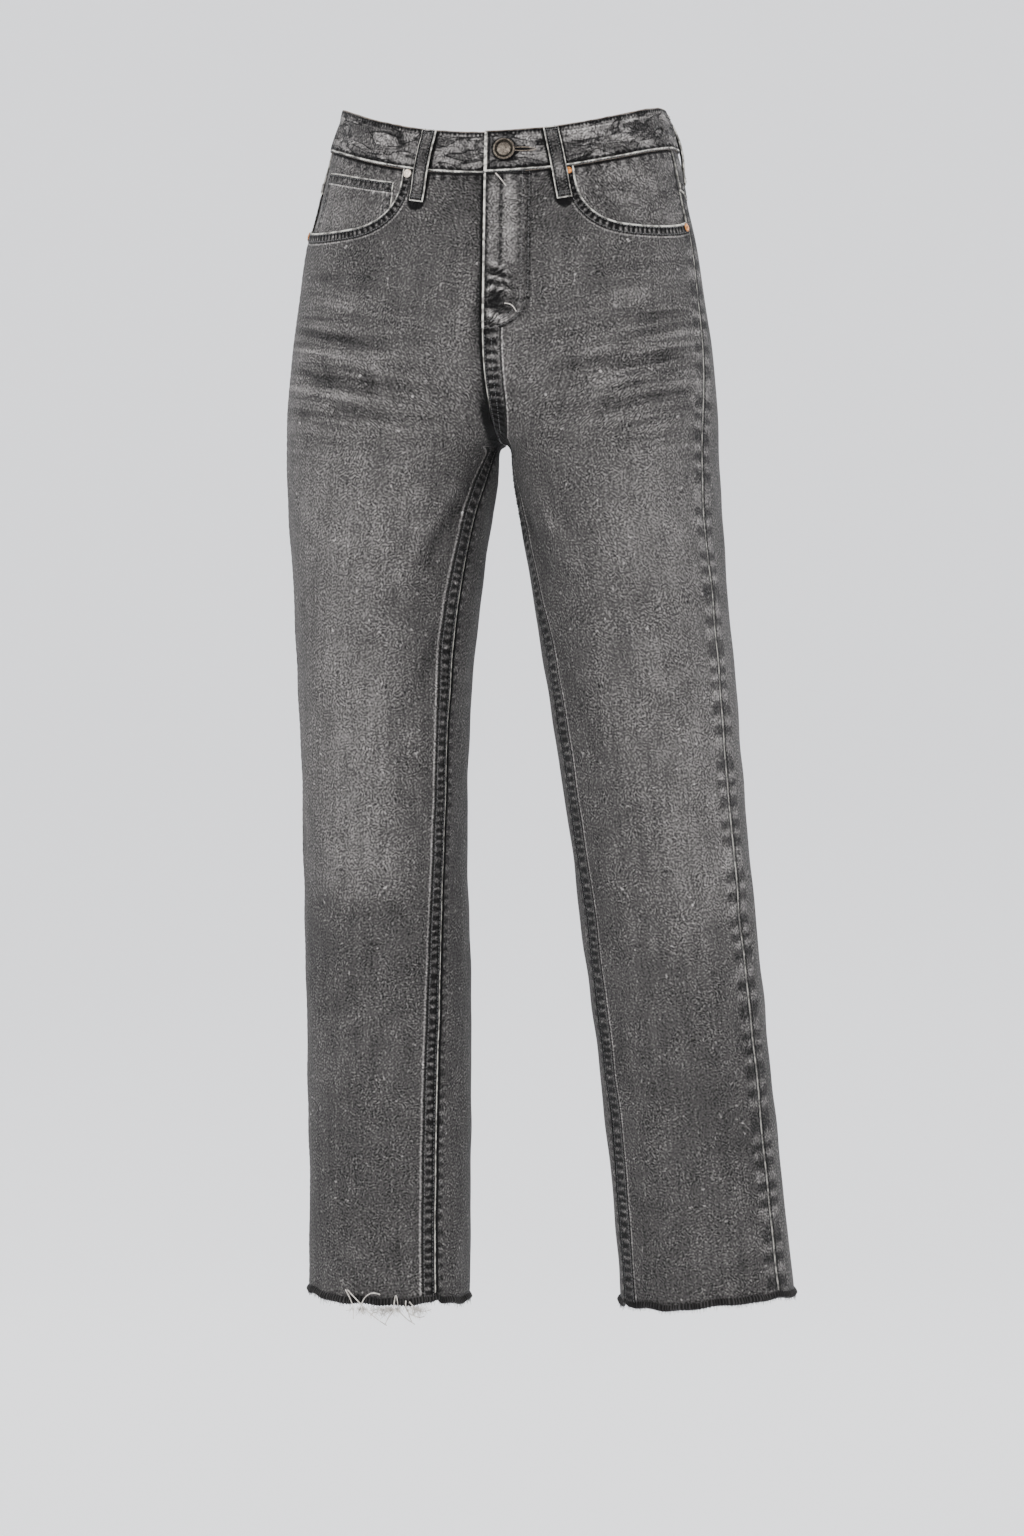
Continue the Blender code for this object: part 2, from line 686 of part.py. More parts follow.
def make_rivets():
    """A small round rivet at each end of both front pocket mouths."""
    profile = (
        (0.0, 0.0),
        (RIVET_RADIUS, 0.0),
        (RIVET_RADIUS, 0.45 * RIVET_HEIGHT),
        (0.72 * RIVET_RADIUS, 0.85 * RIVET_HEIGHT),
        (0.36 * RIVET_RADIUS, RIVET_HEIGHT),
        (0.0, RIVET_HEIGHT),
    )
    for side in (LEFT, RIGHT):
        start = MOUTH_START[side]
        wide = seam_turn(side, "outseam", -0.06)
        inner = waist_seam(side, wide * start) - RIVET_RADIUS - 0.0012
        outer = pocket_mouth(side, 0.97) - RIVET_RADIUS - 0.0012
        near_side = turn_at(side, outer, -(RIVET_RADIUS + 0.0022), start=seam_turn(side, "outseam", outer))
        near_front = turn_at(side, inner, -0.0054, start=wide * start)
        for label, turn, height in (("inner", near_front, inner), ("outer", near_side, outer)):
            place = Vector(surface(side, turn, height))
            normal = Vector(outward(side, turn, height))
            name = f"rivet_{label}_{SIDE_NAMES[side]}"
            rivet = add_object(name, turned(profile, 16), (0.45, 0.27, 0.16), 0.4, metallic=1.0)
            rivet.matrix_world = seated(place + normal * (SEAM_GAP + 0.0001), normal)


def make_belt_loops():
    """Folded strips from the waist edge to below the waist seam, standing off the band between."""
    for name, (side, start, top_distance, foot_distance) in LOOP_PLACES.items():
        rows = []
        for below, lift in LOOP_ROWS[::-1]:
            along_loop = (below - LOOP_ROWS[0][0]) / (LOOP_ROWS[-1][0] - LOOP_ROWS[0][0])
            distance = top_distance + (foot_distance - top_distance) * along_loop
            row = []
            for part in (-1, 0, 1):
                row.append(loop_point(side, start, distance + part * LOOP_WIDTH / 2, below, lift))
            rows.append(row)
        outer = []
        inner = []
        for row in rows:
            inner.append([point for point, _ in row])
            outer.append([point + normal * LOOP_THICKNESS for point, normal in row])
        bm = wall(np.array(outer), np.array(inner))
        add_object(name, bm, (0.112, 0.112, 0.115), 0.9)


def loop_point(side, start, distance, below, lift):
    """A point of a belt loop's inner skin and its normal, measured from the centre front or back."""
    if start == "back" and distance < 0:
        side = -side
        distance = -distance
    origin = 2 * math.pi if start == "back" else 0.0
    step = -distance if start == "back" else distance
    rough = turn_at(side, -0.02, step, start=origin)
    height = float(waist_height(side, rough)) - below
    turn = turn_at(side, height, step, start=origin)
    normal = outward(side, turn, height)
    return surface(side, turn, height) + normal * lift, normal


def make_hem_fringe(side):
    """The curled raw edge of a leg, a narrow ring apart from the cloth, with tufts of loose yarn."""
    rng = random.Random(FRINGE_SEED + side)
    girth = 0.42
    root = 2 * math.pi * FRINGE_ROOT / girth
    profile = ((HEM_BAND, 0.0006), (HEM_BAND * 0.5, 0.0024), (0.0, 0.0006))
    turns = []
    for step in range(FRINGE_STATIONS):
        middle = 2 * math.pi * (step + 0.25 * rng.uniform(-1, 1)) / FRINGE_STATIONS
        turns += [middle - root / 2, middle + root / 2]
    outer = []
    inner = []
    for turn in turns:
        low = float(hem_height(side, turn)) + 0.0007 * math.sin(5 * turn) + 0.0004 * math.sin(13 * turn)
        bulge = 0.0004 * math.sin(9 * turn + side)
        normal = outward(side, turn, low + 0.02)
        heights = [low + up for up, _ in profile]
        heights[0] = float(hem_height(side, turn)) + HEM_BAND
        outer.append([surface(side, turn, h) + normal * (lift + bulge) for h, (_, lift) in zip(heights, profile)])
        inner.append([surface(side, turn, h) - normal * 0.0018 for h in heights])
    bm = wall(np.array(outer).transpose(1, 0, 2)[::-1], np.array(inner).transpose(1, 0, 2)[::-1], closed=True)
    bm.faces.ensure_lookup_table()
    bm.normal_update()
    feet = [face for face in bm.faces if face.calc_center_median().z < HEM_HEIGHT + HEM_RISE[side] + 0.003]
    feet = [face for face in feet if abs(face.normal.z) > 0.6 and face.calc_area() < 0.00001]
    feet.sort(key=lambda face: turn_of(side, face.calc_center_median()))
    for number, face in enumerate(feet):
        long = number in LONG_THREADS[side]
        length = rng.uniform(0.008, 0.012) if long else rng.uniform(0.0018, 0.0042)
        grow_tuft(bm, face, length, rng, side)
    add_object("hem_fringe_" + SIDE_NAMES[side], bm, (0.20, 0.20, 0.20), 0.95)


def turn_of(side, point):
    """The angle of a point round its leg, 0 at the inside and a quarter turn at the front."""
    out = float(along(LEG_ROWS[side], 1, HEM_HEIGHT))
    back = float(along(LEG_ROWS[side], 2, HEM_HEIGHT))
    return math.atan2(back - point.y, out - side * point.x) % (2 * math.pi)


def grow_tuft(bm, face, length, rng, side):
    """Draws a foot face of the fringe out into one tapered strand."""
    result = bmesh.ops.inset_individual(bm, faces=[face], thickness=0.0003, depth=0.0)
    assert result is not None
    centre = face.calc_center_median()
    lean = Vector((rng.uniform(-0.35, 0.35), rng.uniform(-0.35, 0.35), -1.0)).normalized()
    for vert in face.verts:
        vert.co = centre + (vert.co - centre) * 0.38 + lean * length


def build():
    for old in list(bpy.data.objects):
        bpy.data.objects.remove(old, do_unlink=True)
    for side in (LEFT, RIGHT):
        make_front(side)
        make_back(side)
        make_yoke(side)
        make_pocket_facing(side)
        make_back_pocket(side)
        make_hem_fringe(side)
    make_coin_pocket()
    make_fly()
    make_waistband()
    make_button()
    make_rivets()
    make_belt_loops()


build()
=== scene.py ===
import math
import random

import bmesh
import bpy
import numpy as np
from mathutils import Matrix, Vector


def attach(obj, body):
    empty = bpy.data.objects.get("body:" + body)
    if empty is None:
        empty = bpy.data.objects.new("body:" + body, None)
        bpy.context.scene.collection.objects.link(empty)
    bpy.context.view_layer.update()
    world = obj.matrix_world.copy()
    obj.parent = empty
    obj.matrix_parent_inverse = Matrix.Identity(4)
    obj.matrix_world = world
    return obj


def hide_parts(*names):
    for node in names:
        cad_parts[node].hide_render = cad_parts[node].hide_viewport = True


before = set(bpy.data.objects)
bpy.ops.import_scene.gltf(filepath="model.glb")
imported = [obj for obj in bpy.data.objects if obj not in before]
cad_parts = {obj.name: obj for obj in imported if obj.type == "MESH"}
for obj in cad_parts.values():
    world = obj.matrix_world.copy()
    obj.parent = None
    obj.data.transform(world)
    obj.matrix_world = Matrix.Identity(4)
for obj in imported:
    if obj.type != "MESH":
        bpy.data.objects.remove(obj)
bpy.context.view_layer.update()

# The garment's form: the same sections, seams and edges as its solids, in metres.
left, right = 1, -1
sideWord = {left: "left", right: "right"}

form = {
    "cloth": 0.0012,
    "seamGap": 0.0003,
    "bandHeight": 0.035,
    "crotch": -0.258,
    "frontCurve": 0.085,
    "backCurve": 0.110,
    "archHeight": 0.010,
    "blendBelow": 0.075,
    "waistFront": -0.0085,
    "waistBack": 0.0220,
    "waistHip": {left: 0.0215, right: 0.0275},
    "hem": -0.9885,
    "hemRise": {left: 0.0110, right: 0.0050},
}

# height, shift, half width, front depth, back depth
torsoRows = np.array((
    (0.060, 0.0000, 0.1300, 0.086, 0.096),
    (0.024, 0.0000, 0.1377, 0.090, 0.100),
    (-0.008, 0.0000, 0.1478, 0.094, 0.104),
    (-0.026, -0.0004, 0.1522, 0.097, 0.108),
    (-0.058, -0.0015, 0.1587, 0.101, 0.113),
    (-0.090, -0.0022, 0.1665, 0.104, 0.119),
    (-0.136, -0.0020, 0.1733, 0.108, 0.125),
    (-0.179, -0.0018, 0.1793, 0.110, 0.126),
    (-0.204, -0.0018, 0.1815, 0.110, 0.124),
    (-0.238, -0.0015, 0.1842, 0.108, 0.118),
    (-0.280, -0.0010, 0.1849, 0.106, 0.114),
))

# height, out, back, half width, front depth, back depth
legRows = {
    right: np.array((
        (-0.180, 0.0950, 0.004, 0.0915, 0.108, 0.112),
        (-0.255, 0.0955, 0.004, 0.0907, 0.104, 0.106),
        (-0.289, 0.0962, 0.003, 0.0890, 0.102, 0.104),
        (-0.323, 0.0973, 0.001, 0.0862, 0.099, 0.099),
        (-0.391, 0.0992, -0.003, 0.0793, 0.091, 0.089),
        (-0.476, 0.1008, -0.006, 0.0734, 0.083, 0.080),
        (-0.587, 0.1006, -0.006, 0.0699, 0.074, 0.072),
        (-0.731, 0.0995, 0.002, 0.0706, 0.066, 0.070),
        (-0.867, 0.0997, 0.010, 0.0696, 0.061, 0.066),
        (-1.000, 0.1012, 0.014, 0.0687, 0.057, 0.062),
    )),
    left: np.array((
        (-0.180, 0.0950, 0.004, 0.0885, 0.108, 0.112),
        (-0.255, 0.0952, 0.004, 0.0874, 0.104, 0.106),
        (-0.289, 0.0973, 0.003, 0.0868, 0.102, 0.104),
        (-0.323, 0.1009, 0.001, 0.0851, 0.099, 0.099),
        (-0.391, 0.1097, -0.003, 0.0824, 0.091, 0.089),
        (-0.476, 0.1207, -0.006, 0.0790, 0.083, 0.080),
        (-0.587, 0.1335, -0.006, 0.0753, 0.074, 0.072),
        (-0.731, 0.1489, 0.002, 0.0732, 0.066, 0.070),
        (-0.867, 0.1629, 0.010, 0.0721, 0.061, 0.066),
        (-1.000, 0.1745, 0.014, 0.0742, 0.057, 0.062),
    )),
}

# height, inseam and outseam in degrees round the leg
seamRows = {
    right: np.array((
        (0.060, 0.0, 168.0),
        (-0.080, 0.0, 170.0),
        (-0.200, 0.0, 172.0),
        (-0.258, 0.0, 171.0),
        (-0.275, 9.0, 170.5),
        (-0.308, 20.0, 170.0),
        (-0.360, 26.5, 169.0),
        (-0.446, 29.5, 169.0),
        (-0.586, 33.0, 171.0),
        (-0.725, 41.5, 175.0),
        (-0.890, 46.5, 178.0),
        (-1.000, 45.0, 178.0),
    )),
    left: np.array((
        (0.060, 0.0, 154.0),
        (-0.030, 0.0, 159.0),
        (-0.080, 0.0, 161.5),
        (-0.120, 0.0, 160.0),
        (-0.160, 0.0, 156.0),
        (-0.210, 0.0, 152.0),
        (-0.258, 0.0, 151.0),
        (-0.275, 7.0, 151.5),
        (-0.308, 15.0, 152.0),
        (-0.380, 24.0, 153.0),
        (-0.446, 28.0, 152.5),
        (-0.594, 29.0, 150.5),
        (-0.753, 29.0, 150.5),
        (-0.896, 27.0, 150.5),
        (-1.000, 26.0, 149.5),
    )),
}


sampled = {"lowest": -1.06, "highest": 0.09, "perMetre": 4000, "count": 4601}


def smoothed(rows):
    # a smooth curve through the rows, sampled finely from the lowest height up
    table = rows[::-1]
    places = table[:, 0]
    height = np.linspace(sampled["lowest"], sampled["highest"], sampled["count"])
    inside = np.clip(height, places[0], places[-1])
    below = np.clip(np.searchsorted(places, inside, side="right") - 1, 0, len(places) - 2)
    step = (places[below + 1] - places[below])[:, None]
    t = (inside - places[below])[:, None] / step
    values = table[:, 1:]
    slopes = np.gradient(values, places, axis=0)
    return (
        (2 * t**3 - 3 * t**2 + 1) * values[below]
        + (t**3 - 2 * t**2 + t) * step * slopes[below]
        + (3 * t**2 - 2 * t**3) * values[below + 1]
        + (t**3 - t**2) * step * slopes[below + 1]
    )


torsoCurve = smoothed(torsoRows)
legCurve = {side: smoothed(legRows[side]) for side in (left, right)}
seamCurve = {side: smoothed(seamRows[side]) for side in (left, right)}


def along(curve, height):
    at = np.clip((height - sampled["lowest"]) * sampled["perMetre"], 0, sampled["count"] - 1.001)
    low = at.astype(int)
    part = (at - low)[..., None]
    both = curve[low] * (1 - part) + curve[low + 1] * part
    return np.moveaxis(both, -1, 0)


def ease(share):
    share = np.clip(share, 0.0, 1.0)
    return share * share * (3 - 2 * share)


def bell(distance, width):
    return np.exp(-((distance / width) ** 2))


def torsoShare(turn, height):
    nearness = ((1 + np.cos(turn)) / 2) ** 5
    curve = np.where(np.sin(turn) >= 0, form["frontCurve"], form["backCurve"])
    start = form["crotch"] - form["blendBelow"] * (1 - nearness)
    rise = np.clip((height - start) / (curve + form["blendBelow"] * (1 - nearness)), 0.0, 1.0)
    inner = np.sqrt(1 - (1 - rise) ** 2)
    return inner * nearness**1.5 + ease(rise) * (1 - nearness**1.5)


def surface(side, turn, height):
    turn, height = np.broadcast_arrays(np.asarray(turn, float), np.asarray(height, float))
    out, back, half, frontDepth, backDepth = along(legCurve[side], height)
    depth = np.where(np.sin(turn) >= 0, frontDepth, backDepth)
    drop = np.clip((form["crotch"] - height) / form["archHeight"], 0.0, 1.0)
    arch = np.sqrt(1 - (1 - drop) ** 2)
    pulledIn = (out - half) * (1 - arch) * ((1 + np.cos(turn)) / 2) ** 16
    leg = np.stack([side * (out - half * np.cos(turn) - pulledIn), back - depth * np.sin(turn), height], -1)
    shift, wide, front, rear = along(torsoCurve, height)
    halfTurn = turn / 2
    reach = np.where(np.cos(halfTurn) >= 0, front, rear)
    torso = np.stack(
        [side * wide * np.sin(halfTurn) + shift * np.sin(halfTurn) ** 2, -reach * np.cos(halfTurn), height], -1
    )
    share = torsoShare(turn, height)[..., None]
    return leg * (1 - share) + torso * share


def unit(vectors):
    return vectors / np.linalg.norm(vectors, axis=-1, keepdims=True)


def outward(side, turn, height, step=0.001):
    across = surface(side, turn + step, height) - surface(side, turn - step, height)
    up = surface(side, turn, height + step) - surface(side, turn, height - step)
    return unit(side * np.cross(across, up))


def seamTurn(side, which, height):
    turn = np.radians(along(seamCurve[side], np.asarray(height, float))[{"inseam": 0, "outseam": 1}[which]])
    if which == "inseam":
        return np.where(np.asarray(height) >= form["crotch"], 0.0, np.maximum(turn, 0.0))
    return turn


def turnsAt(side, height, distances, start=0.0):
    # the turns that lie these distances along the sections at these heights, from the turn start
    height, distances = np.broadcast_arrays(np.asarray(height, float), np.asarray(distances, float))
    turns = start + np.linspace(-1.15 * math.pi, 1.15 * math.pi, 401)
    rings = surface(side, turns, height.reshape(-1, 1))
    lengths = np.cumsum(np.linalg.norm(np.diff(rings, axis=1), axis=-1), axis=1)
    lengths = np.concatenate([np.zeros((len(rings), 1)), lengths], 1)
    lengths -= lengths[:, 200:201]
    found = [np.interp(at, row, turns) for at, row in zip(distances.ravel(), lengths)]
    return np.array(found).reshape(height.shape)


def waistHeight(side, turn):
    sideways = np.sin(turn / 2) ** 2
    end = np.where(np.cos(turn / 2) >= 0, form["waistFront"], form["waistBack"])
    return end + (form["waistHip"][side] - end) * sideways


def waistSeam(side, turn):
    return waistHeight(side, turn) - form["bandHeight"] - form["seamGap"]


def hemHeight(side, turn):
    return form["hem"] + form["hemRise"][side] * (1 - np.cos(turn)) / 2


def frontTurn(side, share, height):
    first = seamTurn(side, "inseam", height)
    return first + (seamTurn(side, "outseam", height) - first) * share


def backTurn(side, share, height):
    first = seamTurn(side, "outseam", height)
    return first + (2 * math.pi + seamTurn(side, "inseam", height) - first) * share


def edgeHeight(side, share, turnAcross, edge):
    height = np.full(np.shape(share), -0.05)
    for _ in range(6):
        height = edge(side, turnAcross(side, share, height))
    return height


print("form ready")


# Creases, whiskers and fades of each side: the width, how far the middle moves the cloth and how much
# it lightens it, then the (turn in degrees, height) points that it runs through
creases = {
    right: (
        (0.0055, -0.0007, -0.35, (160, -0.116), (120, -0.121), (85, -0.124), (50, -0.129)),
        (0.0065, -0.0014, -0.55, (168, -0.158), (130, -0.168), (95, -0.173), (60, -0.180), (28, -0.186)),
        (0.0060, 0.0010, 0.38, (168, -0.173), (130, -0.183), (95, -0.190), (60, -0.197), (35, -0.203)),
        (0.0070, -0.0015, -0.55, (170, -0.188), (135, -0.198), (100, -0.207), (65, -0.216), (35, -0.223)),
        (0.0060, 0.0009, 0.32, (165, -0.206), (130, -0.216), (95, -0.224), (65, -0.231)),
        (0.0060, -0.0010, -0.34, (165, -0.229), (125, -0.236), (85, -0.241), (50, -0.246), (22, -0.247)),
        (0.0060, 0.0007, 0.25, (140, -0.138), (105, -0.145), (70, -0.150)),
        (0.0085, -0.0018, -0.40, (12, -0.262), (28, -0.292), (46, -0.336), (62, -0.385)),
        (0.0090, 0.0014, 0.26, (30, -0.268), (46, -0.305), (64, -0.352), (80, -0.400)),
        (0.0110, -0.0012, -0.25, (36, -0.400), (52, -0.450), (62, -0.505)),
        (0.0120, -0.0010, -0.12, (150, -0.640), (110, -0.655), (70, -0.650), (50, -0.640)),
        (0.0080, -0.0024, -0.30, (196, -0.600), (235, -0.612), (285, -0.606), (320, -0.596)),
        (0.0075, 0.0016, 0.18, (200, -0.624), (245, -0.634), (295, -0.627)),
        (0.0080, -0.0017, -0.25, (205, -0.648), (250, -0.656), (300, -0.646)),
        (0.0075, -0.0024, -0.32, (350, -0.262), (325, -0.285), (290, -0.300), (250, -0.302)),
        (0.0080, 0.0015, 0.18, (352, -0.285), (325, -0.312), (290, -0.326)),
        (0.0085, -0.0018, -0.25, (350, -0.305), (322, -0.338), (288, -0.352), (262, -0.352)),
        (0.0100, -0.0010, -0.12, (110, -0.900), (80, -0.925), (62, -0.965)),
    ),
    left: (
        (0.0055, -0.0007, -0.32, (150, -0.112), (115, -0.116), (82, -0.120), (58, -0.128)),
        (0.0062, -0.0012, -0.48, (150, -0.158), (120, -0.160), (88, -0.165), (58, -0.174), (34, -0.184)),
        (0.0058, 0.0009, 0.32, (148, -0.173), (115, -0.175), (84, -0.181), (52, -0.190)),
        (0.0065, -0.0013, -0.46, (150, -0.197), (118, -0.193), (86, -0.195), (56, -0.204), (32, -0.212)),
        (0.0056, 0.0008, 0.28, (146, -0.212), (114, -0.210), (82, -0.213), (56, -0.220)),
        (0.0058, -0.0010, -0.32, (150, -0.230), (115, -0.227), (80, -0.229), (50, -0.236), (24, -0.243)),
        (0.0060, 0.0007, 0.25, (142, -0.136), (108, -0.139), (74, -0.146)),
        (0.0080, -0.0015, -0.34, (14, -0.264), (24, -0.300), (38, -0.345), (54, -0.400)),
        (0.0095, 0.0012, 0.26, (34, -0.262), (46, -0.300), (62, -0.345), (76, -0.395)),
        (0.0110, -0.0010, -0.22, (40, -0.420), (52, -0.470), (60, -0.520)),
        (0.0080, -0.0024, -0.30, (196, -0.605), (235, -0.618), (285, -0.610), (320, -0.600)),
        (0.0075, 0.0016, 0.18, (200, -0.630), (245, -0.641), (295, -0.633)),
        (0.0080, -0.0017, -0.25, (205, -0.655), (250, -0.662), (300, -0.652)),
        (0.0075, -0.0024, -0.32, (350, -0.262), (325, -0.288), (290, -0.304), (250, -0.304)),
        (0.0080, 0.0015, 0.18, (352, -0.288), (325, -0.316), (290, -0.330)),
        (0.0085, -0.0018, -0.25, (350, -0.310), (322, -0.342), (288, -0.358), (262, -0.356)),
    ),
}

fadeAndShade = {
    "middle": {right: 107.0, left: 121.0},  # degrees round the leg where the front is palest
    "spread": 41.0,
    "from": -0.20,
    "strongest": (-0.36, -0.60),
    "until": {right: -0.690, left: -0.750},
    "pale": {right: 0.61, left: 0.50},
    "innerDark": 0.60,
    "shinDark": 0.20,
    "seat": 0.45,
    "hip": 0.20,
    "topDark": 0.20,
    # painted shade in the crotch fork and a painted shadow at the fly's foot
    "crotchShade": 2.1,
    "flyFootShadow": 1.5,
}


def smoothPath(corners, count=60):
    corners = np.array(corners, float)
    lengths = np.concatenate([[0.0], np.cumsum(np.hypot(np.diff(corners[:, 0]) * 0.0016, np.diff(corners[:, 1])))])
    at = np.linspace(0.0, lengths[-1], count)
    line = np.stack([np.interp(at, lengths, corners[:, column]) for column in range(corners.shape[1])], -1)
    for _ in range(60):
        line[1:-1] = (line[:-2] + 2 * line[1:-1] + line[2:]) / 4
    return line


def nearestOn(points, line, chunk=4000):
    # how far each point lies from the line, and how far along the line its nearest place is
    starts, steps = line[:-1], np.diff(line, axis=0)
    squares = np.maximum((steps**2).sum(-1), 1e-12)
    lengths = np.concatenate([[0.0], np.cumsum(np.sqrt(squares))])
    gap = np.empty(len(points))
    run = np.empty(len(points))
    for first in range(0, len(points), chunk):
        some = points[first : first + chunk]
        forward = some @ steps.T - (starts * steps).sum(-1)
        t = np.clip(forward / squares, 0.0, 1.0)
        offset = (
            (some**2).sum(-1)[:, None] + (starts**2).sum(-1) - 2 * some @ starts.T
            - 2 * t * forward + t**2 * squares
        )
        best = offset.argmin(1)
        rows = np.arange(len(some))
        gap[first : first + chunk] = np.sqrt(np.maximum(offset[rows, best], 0.0))
        run[first : first + chunk] = lengths[best] + t[rows, best] * np.sqrt(squares[best])
    return gap, run


def gapsTo(points, line):
    gap, run = nearestOn(points.reshape(-1, 3), line)
    return gap.reshape(points.shape[:-1]), run.reshape(points.shape[:-1])


creaseLines = []
for side in (left, right):
    for wide, deep, pale, *corners in creases[side]:
        path = smoothPath(corners)
        creaseLines.append((surface(side, np.radians(path[:, 0]), path[:, 1]), wide, deep, pale))


crease = {"reach": 3.2, "taper": 0.28, "paleMore": 1.4, "paleWide": 0.72}


def creaseEffect(points):
    flat = points.reshape(-1, 3)
    lift = np.zeros(len(flat))
    pale = np.zeros(len(flat))
    for line, wide, deep, tint in creaseLines:
        reach = crease["reach"] * wide
        near = ((flat > line.min(0) - reach) & (flat < line.max(0) + reach)).all(1)
        if not near.any():
            continue
        gap, run = nearestOn(flat[near], line)
        long = np.linalg.norm(np.diff(line, axis=0), axis=1).sum()
        ends = ease(run / (crease["taper"] * long)) * ease((long - run) / (crease["taper"] * long))
        waver = 1 + 0.25 * np.sin(run * 160 + 900 * wide) + 0.3 * np.sin(run * 71 + 300 * deep * 1e3)
        lift[near] += deep * bell(gap, wide) * ends * waver
        pale[near] += crease["paleMore"] * tint * bell(gap, wide * crease["paleWide"]) * ends * waver
    return lift.reshape(points.shape[:-1]), pale.reshape(points.shape[:-1])


def ripple(points, size, seed, waves=14):
    rng = np.random.default_rng(seed)
    total = np.zeros(points.shape[:-1])
    for _ in range(waves):
        way = rng.normal(size=3)
        way /= np.linalg.norm(way)
        total += np.sin(points @ way * (2 * math.pi / (size * rng.uniform(0.75, 1.5))) + rng.uniform(0, 2 * math.pi))
    return total / math.sqrt(waves)


def legWashAndShade(side, turn, height):
    degrees = np.degrees(turn)
    front = bell(degrees - fadeAndShade["middle"][side], fadeAndShade["spread"])
    high, low = fadeAndShade["strongest"]
    down = ease((fadeAndShade["from"] - height) / (fadeAndShade["from"] - high))
    gone = ease((low - height) / (low - fadeAndShade["until"][side]))
    pale = fadeAndShade["pale"][side] * front * down * (1 - gone)
    seat = fadeAndShade["seat"] * bell(degrees - 270, 40) * bell(height + 0.175, 0.075)
    inner = np.maximum(bell(degrees, 42), bell(degrees - 360, 42)) * ease((form["crotch"] + 0.02 - height) / 0.06)
    inner = inner * np.where(degrees > 180, 0.35, 1.0)
    dark = fadeAndShade["innerDark"] * inner + fadeAndShade["shinDark"] * gone * bell(degrees - 100, 70)
    top = fadeAndShade["topDark"] * ease((height + 0.115) / 0.05)
    # painted shade in the crotch fork on the back panels, and a painted shadow beside the fly's foot on the front
    crotchShading = fadeAndShade["crotchShade"] * bell(height - form["crotch"] - 0.009, 0.012) * bell(degrees - 360, 16)
    crotchShading = crotchShading + fadeAndShade["flyFootShadow"] * bell(height + 0.158, 0.028) * bell(degrees, 3.5)
    hip = fadeAndShade["hip"] * bell(height + 0.19, 0.10)
    return pale + seat + hip - dark - top - crotchShading


def paintedShadowGap(points, reach=0.03):
    # how far each point lies from the outline of what is sewn on above it, as a negative number under it; the cloth is
    # painted with shadow near these outlines
    flat = points.reshape(-1, 3)
    gap = np.full(len(flat), 1.0)
    for line, half in shadowCasters:
        near = ((flat > line.min(0) - reach) & (flat < line.max(0) + reach)).all(1)
        if near.any():
            gap[near] = np.minimum(gap[near], nearestOn(flat[near], line)[0] - half)
    return gap.reshape(points.shape[:-1])


def pucker(run, pitch=0.0076):
    return np.sin(run * 2 * math.pi / pitch + 1.7 * np.sin(run * 61.0) + 1.1 * np.sin(run * 143.0 + 1.0))


def addMesh(name, points, quads, fields=None, weave=None):
    mesh = bpy.data.meshes.new(name)
    mesh.from_pydata(np.asarray(points, float).tolist(), [], [list(face) for face in quads])
    for field, values in (fields or {}).items():
        made = mesh.attributes.new(field, "FLOAT", "POINT")
        made.data.foreach_set("value", np.broadcast_to(values, (len(points),)).astype(np.float32))
    if weave is not None:
        corner = np.empty(len(mesh.loops), np.int32)
        mesh.loops.foreach_get("vertex_index", corner)
        mesh.uv_layers.new(name="weave").data.foreach_set("uv", weave[corner].astype(np.float32).ravel())
    mesh.shade_smooth()
    obj = bpy.data.objects.new(name, mesh)
    bpy.context.scene.collection.objects.link(obj)
    return obj


# What the fields say on a piece that has no such edge
noEdges = {
    "innerGap": 1.0, "innerRun": 0.0, "outerGap": 1.0, "outerRun": 0.0, "topGap": 1.0, "topRun": 0.0,
    "foldGap": 1.0, "foldRun": 0.0, "hemGap": 1.0,
}
# Each piece's grid, normals and fields, by name, for the stitches laid on it
laid = {}


def gridPiece(name, grid, side, fields, weave=None, ring=False, tube=False, capped=False):
    rows, columns = grid.shape[:2]
    index = np.arange(rows * columns).reshape(rows, columns)
    order = index
    if ring:
        order = np.concatenate([order, order[:, :1]], 1)
    if tube:
        order = np.concatenate([order, order[:1]], 0)
    quads = np.stack([order[:-1, :-1], order[:-1, 1:], order[1:, 1:], order[1:, :-1]], -1).reshape(-1, 4)
    if side < 0:
        quads = quads[:, ::-1]
    faces = quads.tolist()
    if capped:
        first, last = index[:, 0].tolist(), index[:, -1].tolist()
        faces += [first, last[::-1]] if side > 0 else [first[::-1], last]
    fields = {**noEdges, **fields}
    if "paintedShadowGap" not in fields:
        fields["paintedShadowGap"] = paintedShadowGap(grid)
    laid[name] = grid, gridNormals(grid, side), fields
    flat = {field: np.broadcast_to(values, (rows, columns)).ravel() for field, values in fields.items()}
    return addMesh(name, grid.reshape(-1, 3), faces, flat, None if weave is None else weave.reshape(-1, 2))


def gridNormals(grid, side):
    return unit(side * np.cross(np.gradient(grid, axis=1), np.gradient(grid, axis=0)))


def weaveOf(grid):
    across = np.concatenate(
        [np.zeros((grid.shape[0], 1)), np.cumsum(np.linalg.norm(np.diff(grid, axis=1), axis=-1), axis=1)], 1
    )
    across -= across[:, across.shape[1] // 2][:, None]
    return np.stack([across, grid[..., 2]], -1)


def thicken(piece, thickness):
    wall = piece.modifiers.new("cloth", "SOLIDIFY")
    wall.thickness = thickness
    wall.offset = -1.0
    wall.use_rim = True
    wall.material_offset = 1
    wall.material_offset_rim = 0
    return piece


